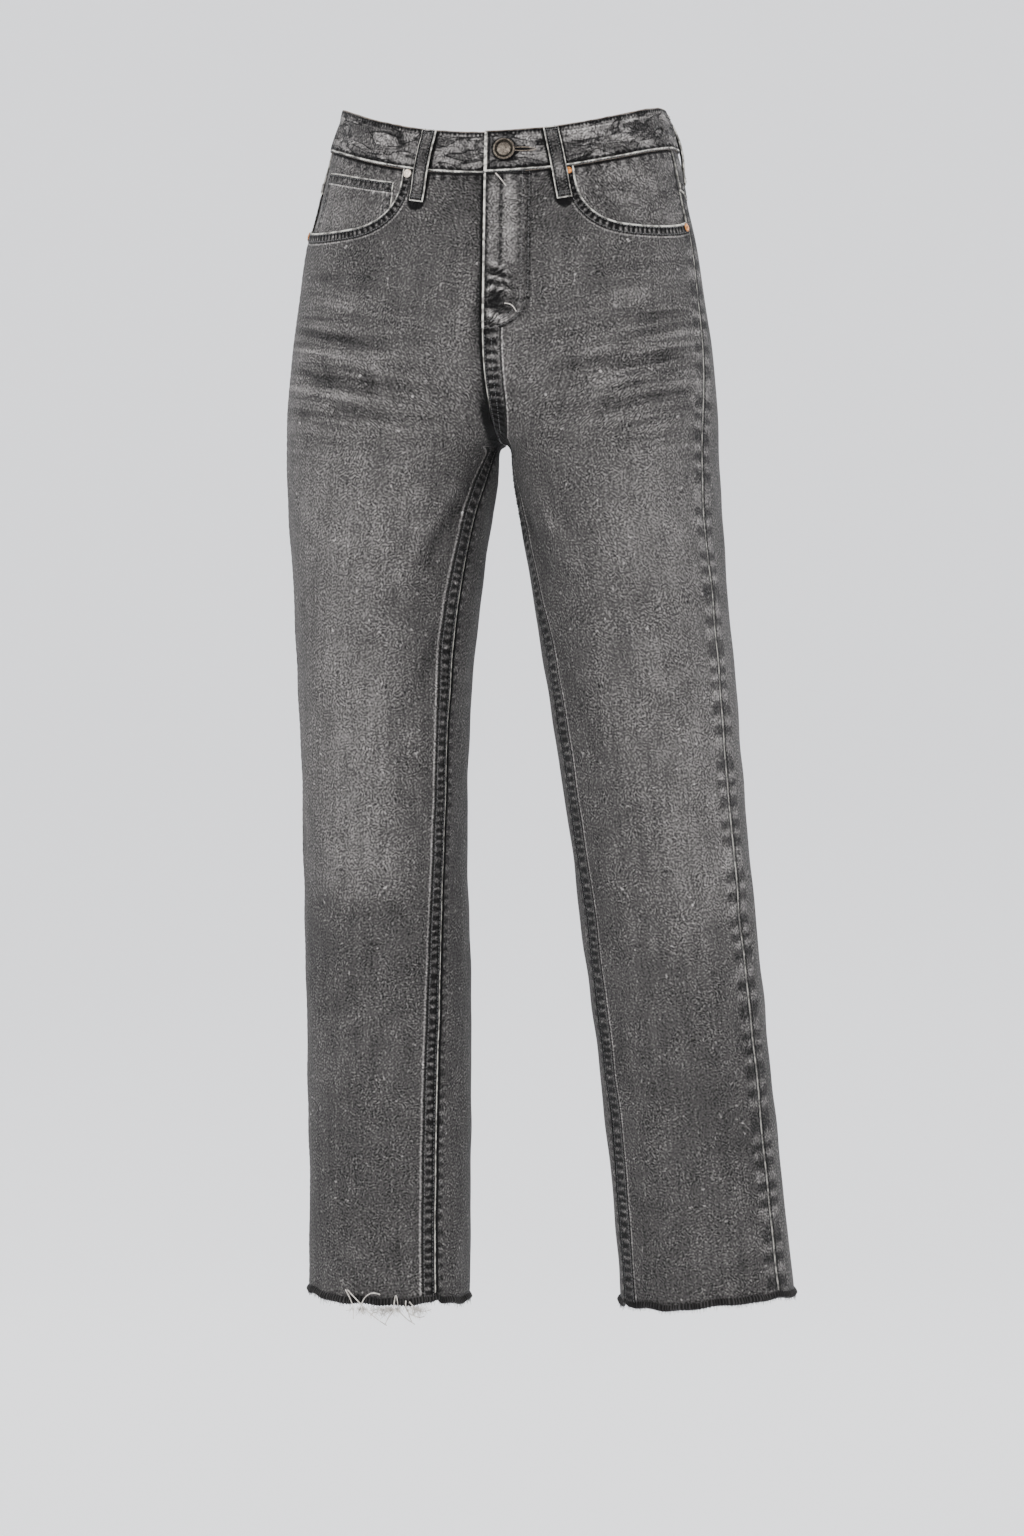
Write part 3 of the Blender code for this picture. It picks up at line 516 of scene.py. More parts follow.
# Belt loops and button: where they lie, for the shade beside them
loops = {
    "wide": 0.0125, "thick": 0.0016,
    "lifts": np.array((
        (0.0005, 0.0012), (0.0080, 0.0012), (0.0140, 0.0025), (0.0260, 0.0031),
        (0.0380, 0.0028), (0.0470, 0.0014), (0.0530, 0.0005), (0.0620, 0.0005),
    )),
    "places": {
        "front_left": (left, "front", 0.054, 0.067), "front_right": (right, "front", 0.047, 0.058),
        "side_left": (left, "front", 0.204, 0.216), "side_right": (right, "front", 0.204, 0.216),
        "back": (left, "back", 0.0, 0.0),
    },
    "tackRows": (3, 4, -5, -4), "tackFace": slice(3, 12),
}


def loopPoints(side, start, distance, below):
    # the back loop straddles the centre, so its points there come from both sides
    points = np.empty((*distance.shape, 3))
    normals = np.empty_like(points)
    for one in {side, -side} if start == "back" else {side}:
        mine = (distance >= 0) == (one == side) if start == "back" else np.ones(distance.shape, bool)
        step = -np.abs(distance[mine]) if start == "back" else distance[mine]
        origin = 2 * math.pi if start == "back" else 0.0
        rough = turnsAt(one, -0.02, step, origin)
        height = waistHeight(one, rough) - below[mine]
        turn = turnsAt(one, height, step, origin)
        points[mine], normals[mine] = surface(one, turn, height), outward(one, turn, height)
    return points, normals


metal = {
    "buttonRadius": 0.0091, "fromCentre": 0.0165, "belowWaist": 0.0165,
    "rivetRadius": 0.0037, "rivetHeight": 0.0014, "hole": (0.0250, 0.0415),
    "buttonSides": 64, "rivetSides": 32, "groove": (8, 12), "rivetBelow": 0.0036, "rivetMargin": 0.0012,
    "rivetAside": {"inner": -0.0054, "outer": -0.0058},
}
# Lines with half widths: what is sewn on above the cloth and shades it
shadowCasters = []
for side, start, topDistance, footDistance in loops["places"].values():
    downLoop = np.linspace(0.0, 1.0, 12)
    distance = topDistance + (footDistance - topDistance) * downLoop
    shadowCasters.append((loopPoints(side, start, distance, 0.0010 + 0.0605 * downLoop)[0], loops["wide"] / 2))
buttonHeight = float(waistHeight(left, 0.1)) - metal["belowWaist"]
buttonTurn = float(turnsAt(left, buttonHeight, metal["fromCentre"]))
buttonSpot = surface(left, buttonTurn, buttonHeight)
shadowCasters.append((np.stack([buttonSpot, buttonSpot + np.array((0.0001, 0.0, 0.0))]), metal["buttonRadius"]))
holeTurns = turnsAt(left, buttonHeight, np.linspace(*metal["hole"], 16))
holeLine = surface(left, holeTurns, buttonHeight) + 0.0027 * outward(left, holeTurns, buttonHeight)
shadowCasters.append((holeLine, 0.0001))
shadowCasters.append((holeLine[:9], 0.0010))
centreDown = np.linspace(float(waistSeam(left, 0.1)), form["crotch"] + 0.010, 60)
centreLine = surface(right, 0.0, centreDown)


# The four leg panels
panel = {
    "middleStep": 0.0046,
    "rowStep": 0.0029,
    "edgeSteps": (0.0, 0.0006, 0.0013, 0.0022, 0.0036, 0.0052, 0.0068, 0.0081, 0.0089, 0.0100, 0.0125, 0.0160),
    "valley": 0.0006,
    "valleyWide": 0.0011,
    "felled": {right: (0.0010, 0.0088), left: (0.0010, 0.0150)},
    "felledLift": 0.00050,
    "wider": 1.4,
    "puckerDeep": 0.00028,
    "ripple": 0.00055,
    "split": 0.158,
    "aboveSplit": 24,
    "overHem": 0.0030,
    "offCentre": 0.00008,
    "above": 0.0001,
}

mouth = {
    "start": {left: 0.355, right: 0.318},
    "round": 0.27,
    "drop": 0.047,
    "rise": 0.009,
    "near": (0.0, 0.0015, 0.004, 0.008, 0.013, 0.019, 0.026, 0.034, 0.043, 0.053, 0.064, 0.076, 0.090, 0.105, 0.122),
}


def mouthEdge(side, share, start, drop):
    top = edgeHeight(side, np.full(np.shape(share), start), frontTurn, waistSeam)
    roundPart = np.clip((share - start) / mouth["round"], 0.0, 1.0)
    rest = np.clip((share - start - mouth["round"]) / (1 - start - mouth["round"]), 0.0, 1.0)
    return top - drop * (1 - (1 - roundPart) ** 3) ** 0.37 + mouth["rise"] * rest**2


def frontTop(side, share):
    start = mouth["start"][side]
    return np.where(
        share > start,
        mouthEdge(side, np.maximum(share, start), start, mouth["drop"]),
        edgeHeight(side, share, frontTurn, waistSeam),
    )


# How far the yoke reaches below the waistband: at the side, and how much more at the centre back
yokeDrop = {"side": 0.035, "more": 0.035}


def yokeSeam(side, turn):
    start = seamTurn(side, "outseam", -0.05)
    share = np.clip((turn - start) / (2 * math.pi - start), 0.0, 1.0)
    return waistSeam(side, turn) - yokeDrop["side"] - yokeDrop["more"] * share


def backTop(side, share):
    return edgeHeight(side, share, backTurn, yokeSeam) - form["seamGap"]


def panelShares(width, extra=()):
    edge = np.array(panel["edgeSteps"]) / width
    middle = np.arange(edge[-1] + panel["middleStep"] / width, 1 - edge[-1], panel["middleStep"] / width)
    shares = np.concatenate([edge, middle, 1 - edge[::-1]])
    if len(extra):
        shares = shares[(shares < min(extra) - 0.004) | (shares > max(extra) + 0.004)]
        shares = np.sort(np.concatenate([shares, extra]))
    return shares


def panelRows():
    split, crotch = form["crotch"] + panel["split"], form["crotch"]
    around = np.array((0.0002, 0.0006, 0.0013, 0.0023, 0.0036, 0.0052, 0.0072, 0.0096, 0.0122))
    low = np.arange(form["hem"] + 0.002, crotch - 0.0145, panel["rowStep"])
    high = np.arange(crotch + 0.0150, split + 0.0001, panel["rowStep"])
    return np.concatenate([low, crotch - around[::-1], [crotch], crotch + around, high])


def hemWave(side, turn):
    seam = math.radians({right: 45.0, left: 26.0}[side])
    wave = 0.0011 * np.sin(3 * turn + side) + 0.0009 * np.sin(7 * turn + 2.0) + 0.0005 * np.sin(15 * turn)
    notch = 0.0030 * bell(np.angle(np.exp(1j * (turn - seam))), 0.055)
    return wave + notch


def makePanel(name, side, shares, turnAcross, top, seams):
    base = panelRows()
    turnHere = turnAcross(side, shares, form["hem"])
    low = hemHeight(side, turnHere) + panel["overHem"] + hemWave(side, turnHere)
    split = base[-1]
    lift = (low - base[0]) * ease((-0.90 - base[:, None]) / 0.08)
    heights = base[:, None] + lift
    tops = top(side, shares)
    steps = np.linspace(0, 1, panel["aboveSplit"])[1:, None]
    heights = np.concatenate([heights, split + (tops - split) * steps], 0)
    turns = turnAcross(side, np.broadcast_to(shares, heights.shape), heights)
    grid = surface(side, turns, heights)
    grid[..., 0] = side * np.maximum(side * grid[..., 0], panel["offCentre"])
    normals = gridNormals(grid, side)
    fromInner, innerRun = gapsTo(grid, grid[:, 0])
    outerGap, outerRun = gapsTo(grid, grid[:, -1])
    waistGap, waistRun = gapsTo(grid, grid[-1])
    innerGap = fromInner
    if seams["mouthOnTop"] and side == right:
        innerGap = fromInner / (panel["wider"] + 0.5 * bell(heights + 0.40, 0.10))
    lift, pale = creaseEffect(grid)
    lift = lift + panel["ripple"] * ripple(grid, 0.050, 3) * ease((form["crotch"] + 0.05 - heights) / 0.2 + 0.35)
    for gap, run, onTop in ((innerGap, innerRun, seams["innerOnTop"]), (outerGap, outerRun, seams["outerOnTop"])):
        first, last = panel["felled"][side]
        band = ease((gap - first * 0.3) / 0.0009) * (1 - ease((gap - last) / 0.0009))
        lift += panel["felledLift"] * onTop * band
        lift += panel["puckerDeep"] * (0.45 + 0.55 * onTop) * pucker(run) * bell(gap - 0.0048, 0.0042)
        lift -= panel["valley"] * bell(gap, panel["valleyWide"])
    foldGap, foldRun = noEdges["foldGap"], noEdges["foldRun"]
    if seams["mouthOnTop"]:
        atMouth = int(np.argmin(np.abs(shares - mouth["start"][side])))
        foldGap, foldRun = gapsTo(grid, grid[-1, atMouth:])
        waistGap, waistRun = gapsTo(grid, grid[-1, : atMouth + 1])
        lift += 0.0005 * (1 - ease((foldGap - 0.0080) / 0.0010)) * ease(foldGap / 0.0008)
        lift += panel["puckerDeep"] * pucker(foldRun) * bell(foldGap - 0.0046, 0.0036)
        lift -= 0.0005 * bell(foldGap, 0.0007)
    lift -= 0.0006 * bell(waistGap, 0.0010)
    # the left side lies on top along the centre, so the right side's edge shows no wear there
    hidden = ease((heights - form["crotch"] + 0.004) / 0.008) * (side == right)
    centreGap = np.full(heights.shape, 1.0)
    if side == right:
        centreGap, _ = gapsTo(grid, centreLine)
    # painted shade in the crotch fork on the front panels
    frontCrotchShade = 12.0 * seams["mouthOnTop"] * bell(heights - form["crotch"] - 0.005, 0.016)
    frontCrotchShade = frontCrotchShade * (1 - ease((fromInner - {left: 0.010, right: 0.004}[side]) / 0.005))
    degrees = np.degrees(turns)
    whiskered = np.maximum(bell(degrees - 110, 62), 0.6 * bell(degrees - 270, 60))
    fields = {
        "innerGap": innerGap + hidden, "innerRun": innerRun, "outerGap": outerGap, "outerRun": outerRun,
        "topGap": waistGap, "topRun": waistRun, "foldGap": foldGap, "foldRun": foldRun, "hemGap": heights - low,
        # on the right front, a painted shadow beside the fly's edge, both in the shadow field and in the colour
        "paintedShadowGap": np.minimum(paintedShadowGap(grid), centreGap),
        "washAndShade": pale + legWashAndShade(side, turns, heights) - frontCrotchShade - 0.55 * bell(centreGap, 0.010),
        "whiskerShare": bell(heights + 0.195, 0.065) * whiskered,
        "whiskerAlong": np.abs(grid[..., 0]),
        "whiskerDown": heights - 0.22 * np.abs(grid[..., 0]),
    }
    piece = gridPiece(name, grid + normals * (lift + panel["above"])[..., None], side, fields, weaveOf(grid))
    return thicken(piece, form["cloth"])


panelSeams = {
    "front": {"innerOnTop": 1.0, "outerOnTop": 0.25, "mouthOnTop": True},
    "back": {"innerOnTop": 0.0, "outerOnTop": 0.0, "mouthOnTop": False},
}

panels = {}
for side in (left, right):
    start = mouth["start"][side]
    extra = start + np.array(mouth["near"])
    beforeMouth = start - np.array((0.012, 0.006))
    shares = panelShares(0.235, np.concatenate([beforeMouth, extra]))
    name = "denim_front_" + sideWord[side]
    panels[name] = makePanel(name, side, shares, frontTurn, frontTop, panelSeams["front"])
    name = "denim_back_" + sideWord[side]
    panels[name] = makePanel(name, side, panelShares(0.250), backTurn, backTop, panelSeams["back"])
print("leg panels ready")


# Yokes
def makeYoke(side):
    shares = panelShares(0.200)
    low = edgeHeight(side, shares, backTurn, yokeSeam)
    high = edgeHeight(side, shares, backTurn, waistSeam)
    rowShares = np.concatenate([[0, 0.012, 0.03, 0.06, 0.1], np.linspace(0.15, 0.9, 18), [0.94, 0.97, 0.985, 1]])
    heights = low + (high - low) * rowShares[:, None]
    turns = backTurn(side, np.broadcast_to(shares, heights.shape), heights)
    grid = surface(side, turns, heights)
    grid[..., 0] = side * np.maximum(side * grid[..., 0], panel["offCentre"])
    normals = gridNormals(grid, side)
    sideGap, sideRun = gapsTo(grid, grid[:, 0])
    centreGap, centreRun = gapsTo(grid, grid[:, -1])
    lowGap, lowRun = gapsTo(grid, grid[0])
    topGap, _ = gapsTo(grid, grid[-1])
    lift = 0.0004 * ripple(grid, 0.03, 5)
    lift += 0.0005 * ease(lowGap / 0.0008) * (1 - ease((lowGap - 0.0086) / 0.0009))
    for gap in (sideGap, centreGap):
        lift -= panel["valley"] * bell(gap, panel["valleyWide"])
    lift -= 0.0006 * bell(lowGap, 0.0008) + 0.0006 * bell(topGap, 0.0010)
    lift += 0.00025 * pucker(lowRun) * bell(lowGap - 0.0048, 0.004)
    fields = {
        "innerGap": centreGap, "innerRun": centreRun, "outerGap": sideGap, "outerRun": sideRun,
        "topGap": lowGap, "topRun": lowRun, "washAndShade": 0.25 + 0.2 * ripple(grid, 0.045, 8),
    }
    raised = grid + normals * (lift + panel["above"])[..., None]
    piece = gridPiece("denim_yoke_" + sideWord[side], raised, side, fields, weaveOf(grid))
    return thicken(piece, form["cloth"])


yokes = {side: makeYoke(side) for side in (left, right)}


# Cloth behind the pocket mouths
facing = {"margin": 0.012, "least": 0.010, "cloth": 0.0010, "sunk": {left: 0.0015, right: 0.0025}, "coinSunk": 0.0013}


def underMouth(name, side, shares, foot, top, sunk, rows, loose):
    low, high = foot(shares), top(shares)
    heights = low + (high - low) * np.linspace(0, 1, rows)[:, None]
    turns = frontTurn(side, np.broadcast_to(shares, heights.shape), heights)
    grid = surface(side, turns, heights)
    normals = gridNormals(grid, side)
    fields = {}
    for label, line in (("inner", grid[:, 0]), ("outer", grid[:, -1]), ("top", grid[-1])):
        fields[label + "Gap"], fields[label + "Run"] = gapsTo(grid, line)
    lift = -sunk + loose * ripple(grid, 0.022, 11)
    if name == "coin_pocket_cloth":
        hemmed = (1 - ease((fields["topGap"] - 0.0085) / 0.0009)) * ease(fields["topGap"] / 0.0007)
        lift = lift + 0.0006 * hemmed
        for label in ("innerGap", "outerGap"):
            lift = lift - 0.0004 * bell(fields[label], 0.0008)
        lift = lift + 0.0003 * pucker(fields["topRun"], 0.0062) * bell(fields["topGap"] - 0.0045, 0.004)
    fields["washAndShade"] = 0.30 + 0.25 * ripple(grid, 0.035, 13)
    piece = gridPiece(name, grid + normals * lift[..., None], side, fields, weaveOf(grid))
    return thicken(piece, facing["cloth"])


facings = {}
for side in (left, right):
    start = mouth["start"][side]
    shares = np.concatenate([start - 0.02 + np.linspace(0, 0.16, 26), np.linspace(start + 0.16, 1.0, 40)])
    facings[side] = underMouth(
        "pocket_facing_cloth_" + sideWord[side], side, shares,
        lambda share: np.minimum(
            mouthEdge(side, np.maximum(share, start - 0.02), start - 0.02, mouth["drop"] + facing["margin"]),
            edgeHeight(side, share, frontTurn, waistSeam) - facing["least"],
        ),
        lambda share: edgeHeight(side, share, frontTurn, waistSeam),
        facing["sunk"][side], 34, 0.0002,
    )

# Coin pocket: where it starts and ends across the front, and how far below the waist seam its top lies
coin = {"first": 0.354, "last": 0.823, "tuck": 0.010, "inner": 0.012, "outer": 0.017}


def coinTop(share):
    part = (share - coin["first"]) / (coin["last"] - coin["first"])
    return edgeHeight(right, share, frontTurn, waistSeam) - coin["inner"] - (coin["outer"] - coin["inner"]) * part


coinShares = np.concatenate([
    [coin["first"], coin["first"] + 0.004],
    np.linspace(coin["first"] + 0.01, coin["last"] - 0.01, 38),
    [coin["last"] - 0.004, coin["last"]],
])
coinPocket = underMouth(
    "coin_pocket_cloth", right, coinShares,
    lambda share: frontTop(right, share) - coin["tuck"], coinTop, facing["coinSunk"], 26, 0.00015,
)
print("pockets ready")


# Fly
fly = {"width": 0.040, "straight": -0.145, "bottom": -0.1755, "lift": 0.0016, "edgeLift": 0.0005, "cloth": 0.0011}


def makeFly():
    down = np.sin(np.linspace(0.04, 1.0, 22) * math.pi / 2)
    heights = list(fly["straight"] - (fly["straight"] - fly["bottom"]) * down[::-1])
    top = float(waistSeam(left, math.radians(14.0)))
    heights += list(np.linspace(fly["straight"], top - 0.0004, 84))[1:]
    parts = np.concatenate([[0, 0.012, 0.03, 0.06, 0.1], np.linspace(0.15, 0.92, 24), [0.96, 0.985, 1.0]])
    rows = []
    for height in heights:
        low = min(max((fly["straight"] - height) / (fly["straight"] - fly["bottom"]), 0.0), 1.0)
        width = max(fly["width"] * math.sqrt(1 - low**2), 0.005)
        turns = turnsAt(left, height, 0.00012 + (width - 0.00012) * parts)
        rows.append(surface(left, turns, np.full(len(parts), height)))
    grid = np.array(rows)
    beyond = grid[:, -1:] + (grid[:, -1:] - grid[:, -2:-1])
    normals = gridNormals(np.concatenate([grid, beyond], 1), left)[:, :-1]
    normals = np.where(np.isfinite(normals), normals, outward(left, 0.4, grid[..., 2]))
    centreGap, centreRun = gapsTo(grid, grid[:, 0])
    outGap, outRun = gapsTo(grid, np.concatenate([grid[0, :], grid[1:, -1]]))
    topGap, topRun = gapsTo(grid, grid[-1])
    phase = grid[..., 2] * 2 * math.pi
    lift = fly["edgeLift"] + (fly["lift"] - fly["edgeLift"]) * ease(outGap / 0.009)
    lift += 0.0011 * bell(centreGap - 0.0185, 0.0042) * ease((grid[..., 2] + 0.175) / 0.03)
    lift -= 0.0006 * bell(centreGap, 0.0008) + 0.0003 * bell(topGap, 0.001)
    lift += 0.0005 * ripple(grid, 0.018, 17) * ease((-0.11 - grid[..., 2]) / 0.03) * bell(centreGap - 0.014, 0.012)
    lift += 0.0003 * pucker(outRun, 0.0085) * bell(outGap - 0.003, 0.004)
    low = ease((-0.115 - grid[..., 2]) / 0.012)
    blotch = low * bell(centreGap - 0.012, 0.010) * np.sin(phase / 0.0125 + 3.5 * ripple(grid, 0.030, 19))
    washAndShade = 1.0 * bell(centreGap - 0.0215, 0.0060) * (1 - low) + 0.7 * bell(centreGap - 0.0085, 0.0050) * (1 - low)
    washAndShade -= 1.1 * bell(centreGap - 0.0145, 0.0014) * (1 - low)
    small = low * bell(centreGap - 0.013, 0.013) * np.sin(phase / 0.0058 + 5.0 * ripple(grid, 0.014, 27))
    dashes = np.maximum(bell(centreGap - 0.0150, 0.0011), bell(centreGap - 0.0300, 0.0011)) * (1 - low)
    washAndShade -= 1.5 * dashes * (0.4 + 0.6 * np.sin(phase / 0.0062 + 3 * ripple(grid, 0.03, 29)))
    washAndShade += 1.4 * bell(outGap - 0.0042, 0.0012) * ease((-0.152 - grid[..., 2]) / 0.008)
    rim = bell(outGap - 0.002, 0.003) * (1 + 0.5 * pucker(outRun, 0.0085))
    washAndShade += 2.1 * blotch + 1.3 * small - 0.7 * low * bell(centreGap - 0.012, 0.013) - 0.8 * rim + 0.1
    washAndShade -= 0.4 * ease((grid[..., 2] + 0.056) / 0.010)
    fields = {
        "innerGap": centreGap, "innerRun": centreRun, "topGap": topGap, "topRun": topRun,
        "washAndShade": washAndShade, "outline": outGap,
    }
    piece = gridPiece("fly_cloth", grid + normals * lift[..., None], left, fields, weaveOf(grid))
    return thicken(piece, fly["cloth"])


flyPiece = makeFly()
print("fly ready")


# Back pockets
backPocket = {
    "fromCentre": 0.092, "belowYoke": 0.014, "topWidth": 0.140, "footWidth": 0.116,
    "height": 0.120, "point": 0.020, "lift": 0.0023, "cloth": 0.0012,
}


def makeBackPocket(side):
    across = np.concatenate([
        [0, 0.004, 0.01, 0.02, 0.035, 0.055, 0.075], np.linspace(0.1, 0.9, 30),
        [0.925, 0.945, 0.965, 0.98, 0.99, 0.996, 1],
    ])
    ups = np.concatenate([
        [0, 0.005, 0.012, 0.025, 0.045, 0.07], np.linspace(0.1, 0.9, 28), [0.93, 0.955, 0.975, 0.99, 1],
    ])
    centreTop = float(yokeSeam(side, 1.5 * math.pi)) - backPocket["belowYoke"]
    parts = 2 * across - 1
    foot = centreTop - backPocket["height"] - backPocket["point"] * (1 - np.abs(parts))
    up = ups[:, None]
    width = backPocket["footWidth"] + (backPocket["topWidth"] - backPocket["footWidth"]) * up
    heights = foot + (centreTop - foot) * up
    turns = turnsAt(side, heights, -(backPocket["fromCentre"] - parts * width / 2), 2 * math.pi)
    grid, normals = surface(side, turns, heights), outward(side, turns, heights)
    sewnGap, sewnRun = gapsTo(grid, np.concatenate([grid[::-1, 0], grid[0, 1:-1], grid[:, -1]]))
    topGap, topRun = gapsTo(grid, grid[-1])
    lift = backPocket["lift"] + 0.0004 * ripple(grid, 0.03, 21)
    lift -= 0.0011 * bell(sewnGap, 0.0011) + 0.0004 * bell(topGap, 0.0008)
    lift += 0.00045 * (1 - ease((topGap - 0.013) / 0.0009)) + 0.0003 * pucker(sewnRun) * bell(sewnGap - 0.005, 0.004)
    lift += 0.0018 * bell(topGap, 0.022) * ease(sewnGap / 0.03)
    fields = {
        "innerGap": sewnGap, "innerRun": sewnRun, "topGap": topGap, "topRun": topRun,
        "washAndShade": -0.15 + 0.3 * bell(sewnGap - 0.045, 0.03) + 0.2 * ripple(grid, 0.05, 23),
    }
    name = "back_pocket_cloth_" + sideWord[side]
    piece = gridPiece(name, grid + normals * lift[..., None], side, fields, weaveOf(grid))
    return thicken(piece, backPocket["cloth"])


backPockets = {side: makeBackPocket(side) for side in (left, right)}
print("back pockets ready")


# Waistband
band = {
    "thick": 0.0027, "proud": 0.0009, "tabProud": 0.0024, "tabRamp": (14.0, 19.5),
    "underSunk": -0.0007, "underReach": 13.0, "corner": 0.0011, "wrinkle": 0.00045, "faceRows": 21,
}


def bandLift(side, halfTurn, under):
    if under:
        return band["underSunk"]
    if side == left:
        start, end = np.radians(band["tabRamp"])
        gone = float(ease((halfTurn - start) / (end - start)))
        return band["proud"] + (band["tabProud"] - band["proud"]) * (1 - gone)
    gone = float(ease(halfTurn / math.radians(band["underReach"])))
    return band["proud"] + (band["underSunk"] - band["proud"]) * (1 - gone)


def makeWaistband():
    steps = np.radians(np.concatenate([[0.1, 0.25, 0.45, 0.8], np.arange(1.3, 179.5, 0.85)]))
    stations = [(left, half, False) for half in steps] + [(right, half, False) for half in steps[::-1][:-3]]
    stations += [(left, math.radians(half), True) for half in np.arange(0.3, band["underReach"], 1.0)]
    tall, corner, thick = form["bandHeight"], band["corner"], band["thick"]
    face = np.linspace(tall - corner, corner, 20)
    outerFace = [(tall, -corner)] + [(tall - corner * 0.3, -corner * 0.3)] + [(below, 0.0) for below in face]
    outerFace += [(corner * 0.3, -corner * 0.3), (0.0, -corner)]
    innerFace = [(0.0, -thick + corner * 0.7), (corner * 0.4, -thick)]
    innerFace += [(below, -thick) for below in np.linspace(corner, tall - corner, 8)] + [(tall - corner * 0.3, -thick)]
    profile = np.array(outerFace + innerFace)
    loop = np.concatenate([[0.0], np.cumsum(np.hypot(*np.diff(profile, axis=0).T))])
    columns, runs = [], []
    lastMiddle, run = None, 0.0
    for side, halfTurn, under in stations:
        turn = 2 * halfTurn
        top = float(waistHeight(side, turn))
        lift = bandLift(side, halfTurn, under)
        normal = outward(side, turn, top - tall / 2)
        points = surface(side, turn, top - profile[:, 0]) + normal * (lift + profile[:, 1])[:, None]
        middle = points[10]
        run += 0.0 if lastMiddle is None else float(np.linalg.norm(middle - lastMiddle))
        lastMiddle = middle
        columns.append(points)
        runs.append(run)
    grid = np.stack(columns, 1)
    runs = np.array(runs)
    shape = grid.shape[:2]
    onFace = (profile[:, 1] > -corner * 0.5)[:, None]
    normals = gridNormals(grid, left)
    rise = band["wrinkle"] * (ripple(grid, 0.016, 31) + 0.6 * ripple(grid, 0.034, 33))
    upright = 0.0007 * np.sin(runs * 2 * math.pi / 0.031 + 2 * np.sin(runs * 23.0))[None, :]
    rise = (rise + upright * bell(profile[:, 0] - tall * 0.55, tall * 0.4)[:, None]) * onFace
    rise -= 0.0009 * bell(gapsTo(grid, holeLine)[0], 0.0016)
    endGap = np.minimum(runs, 1.0)[None, :] + np.zeros(shape)
    below = profile[:, 0][:, None] + np.zeros(shape)
    washAndShade = 0.10 + 0.25 * ripple(grid, 0.015, 35) + 0.25 * ripple(grid, 0.035, 37)
    fields = {
        "innerGap": np.where(onFace, endGap, 1.0), "innerRun": below,
        "outerGap": np.where(onFace, tall - below, 1.0), "outerRun": runs[None, :],
        "topGap": np.where(onFace, below, 0.0), "topRun": runs[None, :], "washAndShade": washAndShade,
    }
    weave = np.stack([np.broadcast_to(runs, shape), np.broadcast_to(-loop[:, None], shape)], -1)
    grid = grid + normals * rise[..., None]
    return gridPiece("waistband_cloth", grid, left, fields, weave, tube=True, capped=True)


waistband = makeWaistband()
print("waistband ready")


# Belt loops
def makeLoop(name):
    side, start, topDistance, footDistance = loops["places"][name]
    lifts = loops["lifts"]
    belows = np.concatenate([[0.0005, 0.0010, 0.0020], np.linspace(0.0035, 0.0590, 26), [0.0605, 0.0614, 0.0620]])[::-1]
    half, thick = loops["wide"] / 2, loops["thick"]
    edge = ((0.0002, 0.0), (0.0, 0.5), (0.0004, 0.9), (0.0012, 1.08), (0.0026, 0.92), (half * 0.6, 0.98))
    section = [(reach - half, thick * up) for reach, up in edge] + [(0.0, thick)]
    section += [(half - reach, thick * up) for reach, up in edge[::-1]] + [(0.0, 0.0)]
    section = np.array(section)
    below = belows[:, None] + 0 * section[:, 0]
    share = (below - belows[-1]) / (belows[0] - belows[-1])
    ends = np.minimum(belows - belows[-1], belows[0] - belows)[:, None] + 0 * section[:, 0]
    lift = np.interp(below, lifts[:, 0], lifts[:, 1]) + section[:, 1] * (1 - 0.7 * bell(ends, 0.0007))
    distance = topDistance + (footDistance - topDistance) * share + section[:, 0]
    places, normals = loopPoints(side, start, distance, below)
    grid = places + normals * lift[..., None]
    fields = {
        "innerGap": half - np.abs(section[:, 0]) + 0 * below, "innerRun": below, "topGap": ends, "topRun": below,
        "paintedShadowGap": 1.0, "washAndShade": -0.05 + 0.45 * ripple(grid, 0.02, 41),
    }
    weave = np.stack([section[:, 0] + 0 * below, -below], -1)
    mirrored = -1 if start == "back" else side
    piece = gridPiece("belt_loop_cloth_" + name, grid, mirrored, fields, weave, ring=True)
    close = bmesh.new()
    close.from_mesh(piece.data)
    bmesh.ops.holes_fill(close, edges=[edge for edge in close.edges if edge.is_boundary])
    bmesh.ops.recalc_face_normals(close, faces=close.faces)
    close.to_mesh(piece.data)
    close.free()
    piece.data.shade_smooth()
    return piece


beltLoops = {name: makeLoop(name) for name in loops["places"]}
print("belt loops ready")


# Raw hems: a dark curled edge with combed-out yarn ends, and loose pale threads on the right leg
hem = {
    "tall": 0.0058, "out": 0.0021, "inside": 0.0016, "ribs": 0.0026, "ribDeep": 0.00065,
    "yarns": 520, "yarnLong": (0.0012, 0.0034), "yarnThick": 0.00045, "around": 760, "seed": 40,
}


def strandMesh(lines, thick, sides=3, taper=0.35):
    points, faces = [], []
    for line in lines:
        line = np.asarray(line, float)
        tangents = unit(np.gradient(line, axis=0) + 1e-9)
        aside = unit(np.cross(tangents, (0.31, 0.22, 0.93)) + 1e-9)
        over = np.cross(tangents, aside)
        first = len(points)
        for place, step in enumerate(line):
            radius = thick * (1 - (1 - taper) * place / (len(line) - 1)) / 2
            for corner in range(sides):
                angle = 2 * math.pi * corner / sides
                points.append(step + radius * (math.cos(angle) * aside[place] + math.sin(angle) * over[place]))
        for place in range(len(line) - 1):
            for corner in range(sides):
                after = (corner + 1) % sides
                low = first + place * sides
                faces.append((low + corner, low + after, low + sides + after, low + sides + corner))
        faces.append(tuple(first + corner for corner in range(sides))[::-1])
        faces.append(tuple(first + (len(line) - 1) * sides + corner for corner in range(sides)))
    return points, faces


